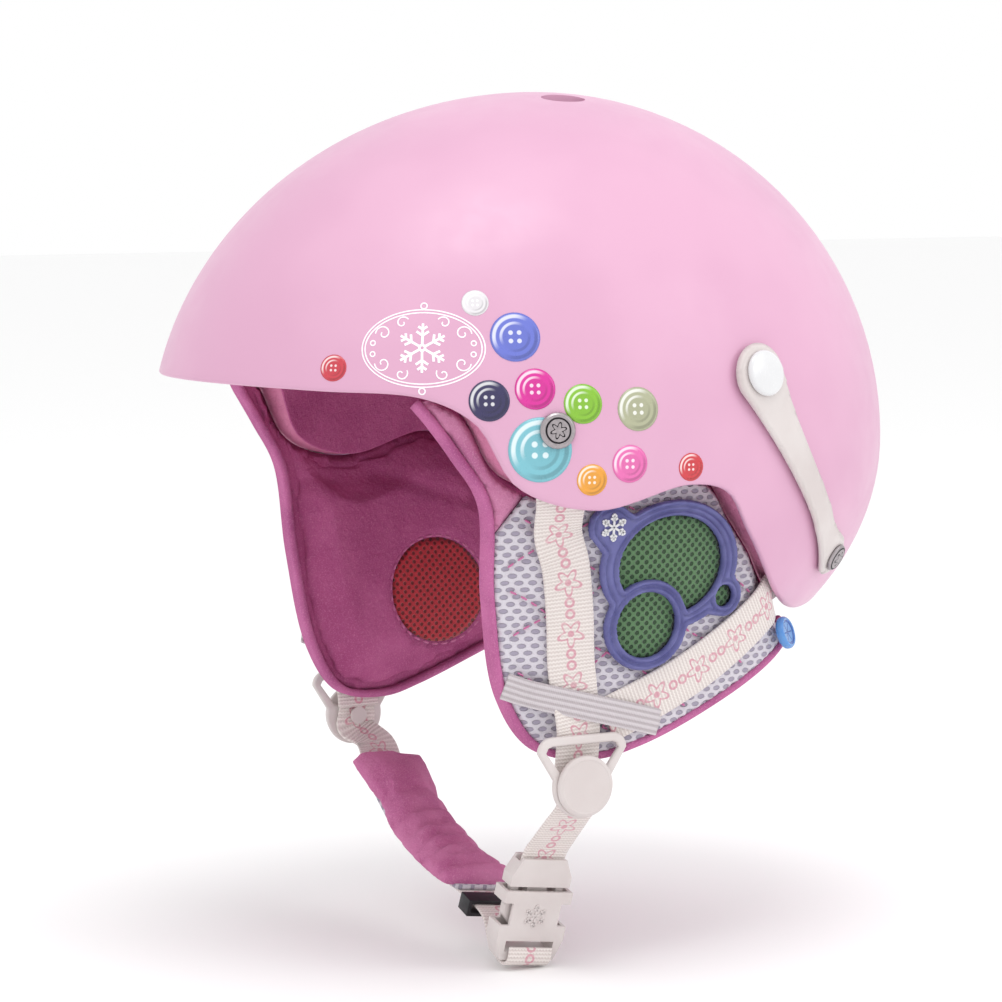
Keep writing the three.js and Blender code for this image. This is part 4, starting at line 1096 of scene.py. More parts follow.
def vent_cutters(grow=0.0):
    cutters = []
    for x, y in ((VENT_X, 0), REAR_VENT):
        for side in (1, -1):
            ring = [
                (side * x + (VENT_WIDTH / 2 + grow) * math.cos(a),
                 y + (VENT_LENGTH / 2 + grow) * math.sin(a))
                for a in np.linspace(0, 2 * math.pi, 40, endpoint=False)
            ]
            count = len(ring)
            verts = [(*p, 40) for p in ring] + [(*p, 150) for p in ring]
            faces = [(i, (i + 1) % count, count + (i + 1) % count, count + i) for i in range(count)]
            faces += [range(count), range(count, 2 * count)]
            cutters.append(make("vent_cutter", verts, faces, smooth=False))
    return cutters


def strap_centres(route, count):
    inner = SHELL_THICKNESS + STRAP_GAP + WEBBING / 2
    places = [
        on_dome(y, z, inner) if depth is None else on_pad(y, z, depth) for y, z, depth in route
    ]
    return catmull(places, count)


def sunk_for_straps(ring):
    """Liner points pressed inwards where the straps run, so that each strap has its channel."""
    paths = [strap_centres(route, 60) for route in (FRONT_STRAP_ROUTE, REAR_STRAP_ROUTE)]
    straps = np.vstack(paths)
    result = ring.copy()
    for index, point in enumerate(ring):
        place = np.array([abs(point[0]), point[1], point[2]])
        gap = np.linalg.norm(straps - place, axis=1).min()
        depth = 3.6 * (1 - float(smoothstep(10.0, 14.0, gap)))
        result[index] = point * (1 - depth / np.linalg.norm(point))
    return result


def build_shell():
    shell = dome_solid("fine_shell", SHELL, inset(SHELL, SHELL_THICKNESS), 0.0, 1.3, 288, 44)
    cut(shell, vent_cutters())
    smooth_by_angle(shell, 40)
    finish_piece(shell, MAT_SHELL, "helmet", ["outer_shell"])
    outer = inset(SHELL, SHELL_THICKNESS + LINER_GAP)
    liner = dome_solid("fine_liner", outer, LINER_INSIDE, LINER_RIM_LIFT, 2.5, 224, 26,
                       sunk_for_straps)
    cut(liner, vent_cutters(-0.4))
    smooth_by_angle(liner, 40)
    finish_piece(liner, MAT_FOAM, "helmet", ["eps_liner"])
    cloth = dome_solid("skull_fleece", inset(LINER_INSIDE, 0.15), inset(LINER_INSIDE, 1.1),
                       LINER_RIM_LIFT + 0.8, 0.5, 160, 24)
    cut(cloth, vent_cutters(0.8))
    finish_piece(cloth, MAT_PLUM, "helmet")


def comfort_pad(name, turns, lifts, steps, ribs=0):
    """A fleece pad on the liner's inner face, crowned between its edges."""
    columns, rows = steps
    verts, faces = [], []
    for face in (0, 1):
        for j in range(rows + 1):
            for i in range(columns + 1):
                a, b = i / columns, j / rows
                crown = (1 - (2 * a - 1) ** 6) ** 0.5 * (1 - (2 * b - 1) ** 4) ** 0.5
                crease = 0.0
                if ribs:
                    crease = 1.4 * math.exp(-((math.sin(math.pi * ribs * a) / 0.22) ** 2))
                height = 1.3 + (0.3 if face == 0 else 0.4 + max(0.0, 5.8 - crease) * crown)
                turn = math.radians(turns[0] + (turns[1] - turns[0]) * a)
                lift = math.radians(lifts[0] + (lifts[1] - lifts[0]) * b)
                form = inset(LINER_INSIDE, height)
                verts.append(dome_point(form, np.array(turn), np.array(lift)))
    across = columns + 1
    layer = across * (rows + 1)
    for j in range(rows):
        for i in range(columns):
            a = j * across + i
            quad = (a, a + 1, a + 1 + across, a + across)
            faces.append(quad)
            faces.append(tuple(layer + v for v in reversed(quad)))
    border = [i for i in range(across)]
    border += [j * across + columns for j in range(1, rows + 1)]
    border += [rows * across + i for i in range(columns - 1, -1, -1)]
    border += [j * across for j in range(rows - 1, 0, -1)]
    for k, a in enumerate(border):
        b = border[(k + 1) % len(border)]
        faces.append((b, a, layer + a, layer + b))
    pad = make(name + "_cushion", verts, faces)
    finish_piece(pad, MAT_PLUM, "helmet", [name])


def build_comfort_pads():
    comfort_pad("brow_pad", (-40, 40), (19, 33), (72, 16), ribs=6)
    comfort_pad("rear_pad", (138, 222), (-14, 12), (72, 24), ribs=6)
    comfort_pad("temple_pad_left", (48, 82), (16, 38), (36, 24), ribs=2)
    comfort_pad("temple_pad_right", (-82, -48), (16, 38), (36, 24), ribs=2)
    build_crown_pad()


def build_crown_pad():
    columns, rows = 20, 80
    verts, faces = [], []
    for face in (0, 1):
        for j in range(rows + 1):
            for i in range(columns + 1):
                x = -10 + 20 * i / columns
                y = -48 + 98 * j / rows
                crown = (1 - (x / 10) ** 4) ** 0.5 * (1 - ((y - 1) / 49) ** 10) ** 0.5
                crease = 1.4 * math.exp(-((math.sin(math.pi * (y - 1) / 24.5) / 0.25) ** 2))
                height = 1.3 + (0.3 if face == 0 else 0.4 + (5.6 - crease) * crown)
                form = inset(LINER_INSIDE, height)
                length = form["front"] if y < 0 else form["rear"]
                z = form["up"] * math.sqrt(1 - (x / form["side"]) ** 2 - (y / length) ** 2)
                verts.append((x, y, z))
    across = columns + 1
    layer = across * (rows + 1)
    for j in range(rows):
        for i in range(columns):
            a = j * across + i
            quad = (a, a + 1, a + 1 + across, a + across)
            faces.append(quad)
            faces.append(tuple(layer + v for v in reversed(quad)))
    pad = make("crown_pad_cushion", verts, faces)
    finish_piece(pad, MAT_PLUM, "helmet", ["crown_pad"])


# ---------------------------------------------------------------- padding by cloth simulation


def inflate(obj, voxel, cap, pressure=4.0):
    """Swells a closed shape as stuffed cloth. No point moves further than cap, in mm."""
    remesh = obj.modifiers.new("remesh", "REMESH")
    remesh.mode = "VOXEL"
    remesh.voxel_size = voxel * MM
    bake(obj)
    rest = [v.co.copy() for v in obj.data.vertices]
    cloth = obj.modifiers.new("cloth", "CLOTH")
    cloth.settings.quality = 5
    cloth.settings.mass = 0.3
    cloth.settings.use_pressure = True
    cloth.settings.uniform_pressure_force = pressure
    cloth.settings.effector_weights.gravity = 0.0
    cloth.point_cache.frame_start = 1
    cloth.point_cache.frame_end = 20
    scene = bpy.context.scene
    for number in range(1, 21):
        scene.frame_set(number)
    bake(obj)
    for vertex, start in zip(obj.data.vertices, rest):
        move = vertex.co - start
        if move.length > cap * MM:
            vertex.co = start + move.normalized() * cap * MM
    scene.frame_set(1)
    return subdivide(obj)


def build_ear_pad_cushion():
    """The stuffed inside of the ear pad, with its sewn ear hole and soft creases."""
    outline = pad_outline(1.8, top=4.8)
    cushion = plate("ear_pad_cushion_left", outline, [], 3.0,
                    lambda y, z, gap: -6.6 - 5.0 * smoothstep(0, 15, gap), constant(-3.0), edge=0.8)
    inflate(cushion, 2.8, 2.4)
    for vertex in cushion.data.vertices:
        y, z = vertex.co.y / MM, vertex.co.z / MM
        depth = vertex.co.x / MM - float(pad_face(y, z))
        hole = math.hypot(y - EAR_HOLE[0], z - EAR_HOLE[1])
        inner = 1 - float(smoothstep(-9.0, -5.0, depth))
        recess = 2.2 * (1 - float(smoothstep(EAR_HOLE[2] - 1.0, EAR_HOLE[2] + 4.5, hole)))
        fold = 1.5 * math.exp(-(((z + 24 + 0.14 * y + 3 * math.sin(y / 14)) / 3.2) ** 2))
        tuck = 0.9 * math.exp(-(((z + 5 - 0.2 * y) / 4.0) ** 2))
        depth += inner * (recess + fold + tuck)
        depth = min(-2.75, max(-13.5, depth))
        vertex.co.x = (float(pad_face(y, z)) + depth) * MM
    cushion.data.shade_smooth()
    other = mirror_copy(cushion, "ear_pad_cushion_right")
    for obj, side in ((cushion, "left"), (other, "right")):
        nodes = ["ear_pad_lining_" + side, "ear_pad_core_" + side]
        finish_piece(obj, MAT_PLUM, "helmet", nodes)


# ---------------------------------------------------------------- ear pads


def stitches(name, paths, length, gap, radius, side=1):
    """A row of raised stitches along each path."""
    verts, faces = [], []
    for path in paths:
        points = np.array(path, float)
        steps = np.linalg.norm(np.diff(points, axis=0), axis=1)
        at = np.concatenate([[0], np.cumsum(steps)])
        start = gap
        while start + length < at[-1]:
            ends = [
                Vector([np.interp(s, at, points[:, k]) for k in range(3)])
                for s in (start, start + length)
            ]
            ahead = (ends[1] - ends[0]).normalized()
            side_way = ahead.cross(Vector((1, 0, 0))).normalized()
            up = ahead.cross(side_way)
            base = len(verts)
            for share, size in ((0, 0.35), (0.2, 1), (0.8, 1), (1, 0.35)):
                centre = ends[0].lerp(ends[1], share)
                for k in range(6):
                    angle = math.pi * k / 3
                    out = side_way * math.cos(angle) + up * math.sin(angle)
                    verts.append(centre + out * radius * size)
            for row in range(3):
                for k in range(6):
                    a, b = base + row * 6, base + (row + 1) * 6
                    faces.append((a + k, a + (k + 1) % 6, b + (k + 1) % 6, b + k))
            faces += [tuple(base + k for k in range(6)), tuple(base + 18 + k for k in range(6))]
            start += length + gap
    return make(name, verts, faces, side)


QUILT_STEP = 21.0


def quilt_gap(y, z):
    """The distance to the nearest quilting line: two families of slanting, slightly wavy lines."""
    best = np.full_like(y, 1e9)
    for slope in (0.62, -0.62):
        reach = math.hypot(1, slope)
        value = (z - slope * y + 1.2 * np.sin(y / 6)) / reach
        best = np.minimum(best, np.abs((value + QUILT_STEP / 2) % QUILT_STEP - QUILT_STEP / 2))
    return best


def cover_face(y, z, gap):
    line = np.exp(-((quilt_gap(y, z) / 2.0) ** 2))
    return -0.05 - 1.3 * line * smoothstep(1.0, 5.0, gap)


def quilt_paths(outline):
    paths = []
    for slope in (0.62, -0.62):
        reach = math.hypot(1, slope)
        for k in range(-9, 9):
            path = []
            for y in np.arange(-84, 64, 1.0):
                z = slope * y - 1.2 * math.sin(y / 6) + k * QUILT_STEP * reach
                spot = np.array([[y, z]])
                ok = inside(spot, outline)[0] and edge_distance(spot, [outline])[0] > 3
                if ok:
                    depth = float(cover_face(np.array([y]), np.array([z]), np.array([9.0]))[0])
                    path.append(on_pad(y, z, depth + 0.75))
                elif len(path) > 4:
                    paths.append(path)
                    path = []
                else:
                    path = []
            if len(path) > 4:
                paths.append(path)
    return paths


def frame_outline(grow=0.0):
    """The outline of the vent frame: the edge of its four overlapping discs."""
    discs = [VENT_MEDIUM[:3], VENT_SMALL[:3], VENT_LOBE]
    angles = np.linspace(0, 2 * math.pi, 720, endpoint=False)
    centre = np.array([-3.0, -42.0])
    rays = np.stack([np.cos(angles), np.sin(angles)], axis=1)
    squash = np.array([1 / VENT_STRETCH, 1.0])
    off = (np.array(VENT_LARGE[:2]) - centre) * squash
    short = rays * squash
    size = (short * short).sum(axis=1)
    near = short @ off
    radius = VENT_LARGE[2] + grow
    reach = (near + np.sqrt(np.maximum(0, near**2 - size * (off @ off - radius**2)))) / size
    for y, z, radius in discs:
        radius += grow
        off = np.array([y, z]) - centre
        near = rays @ off
        rest = radius**2 - (off @ off - near**2)
        hit = np.where(rest > 0, near + np.sqrt(np.maximum(0, rest)), 0)
        reach = np.maximum(reach, hit)
    kernel = np.ones(9) / 9
    reach = np.convolve(np.concatenate([reach[-4:], reach, reach[:4]]), kernel, "valid")
    return centre + np.stack([np.cos(angles), np.sin(angles)], axis=1) * reach[:, None]


def oval_window(extra):
    y, z, _, radius = VENT_LARGE
    ring = circle(0, 0, radius + extra, 200) * (VENT_STRETCH, 1.0)
    return ring + (y, z)


def crescent():
    """The large window: its circle, less the medium window's ring."""
    y, z, _, radius = VENT_LARGE
    big = oval_window(0.0)
    away = np.hypot(big[:, 0] - VENT_MEDIUM[0], big[:, 1] - VENT_MEDIUM[1]) > VENT_MEDIUM[2]
    start = int(np.argmax(away & ~np.roll(away, 1)))
    kept = np.roll(big, -start, axis=0)[:int(away.sum())]
    arc = circle(VENT_MEDIUM[0], VENT_MEDIUM[1], VENT_MEDIUM[2], 400)
    arc = arc[np.hypot((arc[:, 0] - y) / VENT_STRETCH, arc[:, 1] - z) < radius]
    first = int(np.argmax(np.linalg.norm(arc - np.roll(arc, 1, axis=0), axis=1)))
    arc = np.roll(arc, -first, axis=0)
    if np.linalg.norm(arc[0] - kept[-1]) > np.linalg.norm(arc[-1] - kept[-1]):
        arc = arc[::-1]
    return np.vstack([kept, arc])


def frame_face(y, z, gap):
    """Raised outer and inner beads with a groove between them."""
    groove = 1.2 * np.exp(-(((gap - 1.75) / 0.42) ** 2))
    return 3.9 - groove - 0.5 * smoothstep(1.4, 2.2, gap)


def snowflake(radius, arms=6):
    """The strokes of a plain snowflake, as flat (x, y) paths."""
    strokes = []
    for k in range(arms):
        angle = 2 * math.pi * k / arms + math.pi / 2
        ray = np.array([math.cos(angle), math.sin(angle)])
        strokes.append([ray * radius * 0.06, ray * radius])
        for at, reach in ((0.5, 0.3), (0.75, 0.22)):
            for turn in (-1, 1):
                branch = angle + turn * math.radians(55)
                tip = np.array([math.cos(branch), math.sin(branch)]) * radius * reach
                strokes.append([ray * radius * at, ray * radius * at + tip])
    return strokes


def ribbon_strokes(name, strokes, width, matrix, lift, thickness, side=1, on_shell=False):
    """Flat raised lines in matrix's XY plane; on_shell drapes them over the shell."""
    verts, faces = [], []
    for stroke in strokes:
        points = np.array(stroke, float)
        ahead = np.gradient(points, axis=0)
        ahead /= np.maximum(1e-9, np.linalg.norm(ahead, axis=1))[:, None]
        out = np.stack([-ahead[:, 1], ahead[:, 0]], axis=1) * width / 2
        base = len(verts)
        for low in (True, False):
            for edge in (points - out, points + out):
                places = [matrix @ Vector((x, y, 0)) for x, y in edge]
                if on_shell:
                    places = drape(places, lift if low else lift + thickness)
                else:
                    up = matrix.to_3x3().col[2]
                    places = [p + up * (lift if low else lift + thickness) for p in places]
                verts += places
        n = len(points)
        for i in range(n - 1):
            a, b, c, d = (base + k * n + i for k in range(4))
            faces += [(a, b, b + 1, a + 1), (c, c + 1, d + 1, d),
                      (a, a + 1, c + 1, c), (b, d, d + 1, b + 1)]
        for i in (0, n - 1):
            a, b, c, d = (base + k * n + i for k in range(4))
            faces.append((a, b, d, c))
    return make(name, verts, faces, side, smooth=False)


WING_LINE = ((-61.0, -26.0), (-49.0, -8.0))


def behind_wing(y, z, gap=0.0):
    """Positive for points of the pad behind the slanting seam of its front wing."""
    (y0, z0), (y1, z1) = WING_LINE
    length = math.hypot(y1 - y0, z1 - z0)
    return ((y - y0) * (z1 - z0) - (z - z0) * (y1 - y0)) / length - gap


def split_outline(outline, keep_rear, gap):
    """The part of an outline on one side of the wing seam."""
    sign = 1 if keep_rear else -1
    kept = []
    for (y0, z0), (y1, z1) in zip(outline, np.roll(outline, -1, axis=0)):
        a, b = sign * behind_wing(y0, z0) - gap, sign * behind_wing(y1, z1) - gap
        if a >= 0:
            kept.append((y0, z0))
        if a * b < 0:
            t = a / (a - b)
            kept.append((y0 + (y1 - y0) * t, z0 + (z1 - z0) * t))
    return np.array(kept)


def build_ear_pads():
    whole = pad_outline(0.6)
    outline = split_outline(whole, True, 0.1)
    wing_outline = split_outline(whole, False, 0.1)
    windows = [crescent(), circle(*VENT_MEDIUM[:2], VENT_MEDIUM[3]),
               circle(*VENT_SMALL[:2], VENT_SMALL[3], 24)]
    paths = quilt_paths(outline)
    edge = catmull(PAD_EDGE, 160)
    ahead = np.gradient(edge, axis=0)
    ahead /= np.linalg.norm(ahead, axis=1)[:, None]
    outwards = np.stack([ahead[:, 1], -ahead[:, 0]], axis=1)
    ring = circle(*EAR_HOLE[:2], EAR_HOLE[2] + 1.0, 72)
    ring = np.vstack([ring, ring[:1]])
    lobe = frame_along(on_pad(*VENT_LOBE[:2], 3.55), pad_normal(*VENT_LOBE[:2]))
    hole = frame_along(on_pad(*PAD_BUTTON[:2]), pad_normal(*PAD_BUTTON[:2]))
    meshes = [oval_window(1.2), circle(*VENT_MEDIUM[:2], VENT_MEDIUM[3] + 1.2),
              circle(*VENT_SMALL[:2], VENT_SMALL[3] + 1.2)]
    for side, sign in SIDES:
        cover = plate("ear_pad_cover_cloth_" + side, outline, [], 1.35, constant(-2.45), cover_face,
                      sign, edge=1.2)
        finish_piece(cover, MAT_SPACER, "helmet", ["ear_pad_cover_" + side])
        wing = plate("ear_pad_wing_cloth_" + side, wing_outline, [], 1.8, constant(-2.45),
                     constant(-0.3), sign, edge=1.1)
        finish_piece(wing, MAT_PINK, "helmet")
        quilting = stitches("quilt_stitches_" + side, paths, 2.4, 1.5, 0.36, sign)
        finish_piece(quilting, MAT_STITCH, "helmet")
        back = plate("ear_pad_lining_cloth_" + side, pad_outline(0.6, top=3.8), [], 3.0,
                     constant(-4.4), constant(-2.5), sign, edge=0.8)
        finish_piece(back, MAT_PLUM, "helmet")
        middle = [
            (float(pad_face(y, z)) - 3.3, y + out[0] * 0.2, z + out[1] * 0.2)
            for (y, z), out in zip(edge, outwards)
        ]
        piping = sweep("ear_pad_piping_" + side, middle, lambda i: (1, 0, 0),
                       lambda i: section(3.5, 2.6, 6), sign)
        finish_piece(piping, MAT_PIPING, "helmet", ["ear_pad_binding_" + side])
        ear = plate("ear_mesh_disc_" + side, circle(*EAR_HOLE[:2], EAR_HOLE[2] + 0.3), [], 2.0,
                    lambda y, z, gap: -12.6 - 0.9 * smoothstep(0, 14, gap),
                    lambda y, z, gap: -11.6 - 0.9 * smoothstep(0, 14, gap), sign, edge=0.5)
        finish_piece(ear, MAT_EAR_MESH, "helmet", ["ear_mesh_" + side])
        around = [on_pad(y, z, -12.75) for y, z in ring]
        sewn = stitches("ear_hole_stitches_" + side, [around], 2.4, 1.4, 0.42, sign)
        finish_piece(sewn, MAT_STITCH, "helmet")
        discs = []
        for loop in meshes:
            discs.append(plate("vent_disc", loop, [], 2.4, constant(0.3),
                               lambda y, z, gap: 0.8 + 0.9 * smoothstep(0, 12, gap), sign, edge=0.4))
        mesh = join(discs, "vent_mesh_cloth_" + side)
        finish_piece(mesh, MAT_VENT_MESH, "helmet", ["vent_mesh_" + side])
        rubber = plate("vent_frame_moulding_" + side, frame_outline(), windows, 0.6,
                       constant(0.3), frame_face, sign, edge=0.9)
        finish_piece(rubber, MAT_FRAME, "helmet", ["vent_frame_" + side])
        flake = ribbon_strokes("vent_frame_badge_" + side, snowflake(4.6), 0.75, lobe, 0.0, 0.5, sign)
        finish_piece(flake, MAT_SNAP, "helmet")
        _, _, radius = PAD_BUTTON
        button = lathe("pad_button_moulding_" + side, rounded([
            (0, 2), (radius - 0.8, 2), (radius, 2.8), (radius, 4.4), (radius - 0.9, 5.2),
            (radius - 1.8, 4.5), (0, 4.3)], 0.6), hole, sign)
        finish_piece(button, MAT_BUTTON, "helmet", ["pad_button_" + side])


# ---------------------------------------------------------------- straps, rivets and yokes

YOKE_X = float(pad_face(YOKE_Y, YOKE_BAR_Z)) + YOKE_DEPTH
YOKE_INSIDE = YOKE_X - YOKE_THICKNESS / 2
YOKE_OUTSIDE = YOKE_X + YOKE_THICKNESS / 2


def across_on_side(centres, straight=False):
    """The width direction of a strap that lies on the side of the helmet. A straight strap turns
    level as it nears the yoke."""
    def across(i):
        before = Vector(centres[max(0, i - 1)])
        after = Vector(centres[min(len(centres) - 1, i + 1)])
        ahead = (after - before).normalized()
        _, y, z = centres[i]
        on_shell = z > rim_height(y)
        normal = dome_normal(on_dome(y, z)) if on_shell else pad_normal(y, z)
        result = ahead.cross(normal).normalized()
        if not straight:
            return result
        if result.y > 0:
            result.negate()
        share = 1 - float(smoothstep(-84, -70, z))
        return result.lerp(Vector((0, -1, 0)), share).normalized()
    return across


def build_straps():
    strip = section(WEBBING_WIDTH / 2, WEBBING)
    band = section(4.5, 0.9)
    front = [tuple(p) for p in strap_centres(FRONT_STRAP_ROUTE, 100)]
    rear = [tuple(p) for p in strap_centres(REAR_STRAP_ROUTE, 90)]
    elastic = [tuple(p) for p in catmull([on_pad(*p) for p in ELASTIC_ROUTE], 80)]
    for side, sign in SIDES:
        strap = sweep("front_strap_webbing_" + side, front, across_on_side(front, straight=True),
                      lambda i: strip, sign)
        finish_piece(strap, MAT_WEBBING, "helmet", ["front_strap_" + side])
        strap = sweep("rear_strap_webbing_" + side, rear, across_on_side(rear),
                      lambda i: strip, sign)
        finish_piece(strap, MAT_WEBBING, "helmet", ["rear_strap_" + side])
        strap = sweep("elastic_band_knit_" + side, elastic, across_on_side(elastic),
                      lambda i: band, sign)
        finish_piece(strap, MAT_ELASTIC, "helmet", ["elastic_band_" + side])


def rivet_profile(head, seat):
    return rounded([
        (0, -7.7), (2, -7.7), (2, seat), (head, seat), (head, seat + 0.8), (head - 0.9, seat + 1.5),
        (head - 1.4, seat + 1.35), (2.4, seat + 1.7), (0, seat + 1.8)], 0.35, 3)


def build_rivets():
    for side, sign in SIDES:
        heads = (("front_rivet", FRONT_RIVET, 5.8, 0.35), ("rear_rivet", REAR_RIVET, 4.8, 2.7))
        for name, place, radius, seat in heads:
            head = lathe(name + "_turned_" + side, rivet_profile(radius, seat), dome_frame(*place),
                         sign, 64)
            finish_piece(head, MAT_STEEL, "helmet", [name + "_" + side])
        for name, place in (("front_washer", FRONT_RIVET), ("rear_washer", REAR_RIVET)):
            ring = [(2.4, -7.4), (5.7, -7.4), (6, -7.1), (6, -6.5), (5.7, -6.3), (2.4, -6.3), (2.4, -7.4)]
            washer = lathe(name + "_turned_" + side, ring, dome_frame(*place), sign)
            finish_piece(washer, MAT_STEEL, "helmet", [name + "_" + side])
        stud = rounded([(0, 0.3), (3, 0.3), (3, 1.1), (2.4, 1.6), (0, 1.6)], 0.3)
        stud = lathe("snap_stud_turned_" + side, stud, dome_frame(*SNAP), sign)
        finish_piece(stud, MAT_STEEL, "helmet", ["snap_stud_" + side])


def arm_outline():
    """A round foot, a narrow waist and a round head, in (y, z)."""
    route = [(*REAR_RIVET, 7.4), *ARM_LINE, ARM_HEAD]
    line = catmull(route, 160)
    ahead = np.gradient(line[:, :2], axis=0)
    ahead /= np.linalg.norm(ahead, axis=1)[:, None]
    out = np.stack([-ahead[:, 1], ahead[:, 0]], axis=1) * line[:, 2:3]
    loops = [line[:, :2] + out]
    for (centre, direction, radius) in ((line[-1, :2], ahead[-1], line[-1, 2]),
                                        (line[0, :2], -ahead[0], line[0, 2])):
        start = math.atan2(direction[1], direction[0]) + math.pi / 2
        angles = np.linspace(start, start - math.pi, 30)[1:-1]
        arc = centre + radius * np.stack([np.cos(angles), np.sin(angles)], axis=1)
        loops.append(arc)
    return np.vstack([loops[0], loops[1], (line[:, :2] - out)[::-1], loops[2]])


def arm_top_face(y, z, gap):
    """A shallow rib along each edge, and a thicker round head."""
    head = np.hypot(y - ARM_HEAD[0], z - ARM_HEAD[1])
    thick = 0.6 * (1 - smoothstep(ARM_HEAD[2] - 1.5, ARM_HEAD[2] + 3.0, head))
    groove = 0.35 * smoothstep(1.1, 1.7, gap) * smoothstep(ARM_HEAD[2], ARM_HEAD[2] + 4, head)
    return ARM_GAP + ARM_THICKNESS + thick - groove


def build_goggle_arms():
    outline = arm_outline()
    window = circle(*SNAP, 2.6, 24)
    for side, sign in SIDES:
        arm = plate("goggle_arm_moulding_" + side, outline, [window], 1.15, constant(ARM_GAP + 0.1),
                    arm_top_face, sign, edge=1.1, place=dome_place)
        paint(arm, MAT_IVORY)
        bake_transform(arm)
        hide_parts("goggle_arm_" + side, "arm_foot_" + side)
        cap = lathe("snap_cap_moulding_" + side, rounded([
            (0, 2.2), (2.1, 2.2), (2.1, 3.75), (7.5, 3.75), (7.5, 4.6), (6.9, 5.4), (0, 6.0)],
            0.6, 5), dome_frame(*SNAP), sign, 64)
        finish_piece(cap, MAT_SNAP, "goggle_arm_" + side, ["snap_cap_" + side])


def yoke_loops():
    """The outline of the yoke and its strap slot, in (y, z) from the pivot."""
    top = YOKE_BAR_Z + YOKE_BAR_HALF - YOKE_PIVOT_Z
    half = YOKE_HALF_WIDTH + 1.4
    lower = YOKE_CAP_RADIUS + 0.8
    corner = 5.0
    outer = []
    for i in range(9):
        angle = math.pi / 2 - i * math.pi / 16
        outer.append((half - corner + corner * math.cos(angle), top - corner + corner * math.sin(angle)))
    for i in range(25):
        angle = math.radians(12) - i * (math.pi + math.radians(24)) / 24
        outer.append((lower * math.cos(angle), lower * math.sin(angle)))
    for i in range(9):
        angle = math.pi - i * math.pi / 16
        outer.append((-half + corner + corner * math.cos(angle), top - corner + corner * math.sin(angle)))
    slot_top = top - 2 * YOKE_BAR_HALF
    reach = half - 3
    right = [(0, slot_top), (reach - 2.2, slot_top), (reach - 0.7, slot_top - 0.6),
             (reach, slot_top - 2.0), (lower - 2.6, 4.4), (lower - 4.2, 3.6)]
    slot = right + [(0, 3.9)] + [(-x, z) for x, z in reversed(right[1:])]
    return outer, slot


def build_yokes():
    place = Matrix(((0, 0, 1, YOKE_X), (1, 0, 0, YOKE_Y), (0, 1, 0, YOKE_PIVOT_Z), (0, 0, 0, 1)))
    pivot = frame_along(Vector((0, YOKE_Y, YOKE_PIVOT_Z)), Vector((1, 0, 0)))
    seat = YOKE_OUTSIDE + 0.3
    tail = YOKE_INSIDE - 2.6
    profile = rounded([
        (0, tail - 0.8), (3.2, tail - 0.8), (3.2, tail), (2.4, tail), (2.4, seat),
        (YOKE_CAP_RADIUS, seat), (YOKE_CAP_RADIUS, seat + 1.6), (YOKE_CAP_RADIUS - 1.2, seat + 2.1),
        (YOKE_CAP_RADIUS - 1.6, seat + 1.9), (0, seat + 1.95)], 0.5, 4)
    for side, sign in SIDES:
        ring = moulded("yoke_ring_moulding_" + side, yoke_loops(), YOKE_THICKNESS, 0.8, place, sign)
        finish_piece(ring, MAT_IVORY, "helmet", ["yoke_ring_" + side])
        cap = lathe("yoke_cap_moulding_" + side, profile, pivot, sign, 64)
        finish_piece(cap, MAT_IVORY, "helmet", ["yoke_cap_" + side])


# ---------------------------------------------------------------- chin strap and buckle


def across_loop(share):
    return Vector((0, 1, 0)).lerp(loop_rear, min(1.0, share)).normalized()


def with_round_end(centres, halves, radius):
    """A strip's centre line and half widths, with a round end of radius before its first point."""
    start = Vector(centres[0])
    back = (start - Vector(centres[1])).normalized()
    extra, sizes = [], []
    for i in range(8):
        angle = math.pi / 2 * (1 - i / 8)
        extra.append(start + back * radius * math.sin(angle))
        sizes.append(max(0.9, radius * math.cos(angle)))
    return extra + [Vector(c) for c in centres], sizes + list(halves)


def loop_line(route, count, offset=0.0):
    """A line in the loop's plane, offset to its inner side."""
    points = catmull([(left, down, 0) for left, down in route], count)[:, :2]
    ahead = np.gradient(points, axis=0)
    ahead /= np.linalg.norm(ahead, axis=1)[:, None]
    return [
        on_loop(left + a[1] * offset, down - a[0] * offset) for (left, down), a in zip(points, ahead)
    ]


def chin_route():
    to_buckle = buckle_frame()
    bar = []
    for outwards, up in BAR_ROUTE:
        point = to_buckle @ Vector((0, outwards, up)) - LOOP_ORIGIN
        bar.append((point.dot(LOOP_LEFT), point.dot(loop_down)))
    return [*RIGHT_ROUTE, *bar]


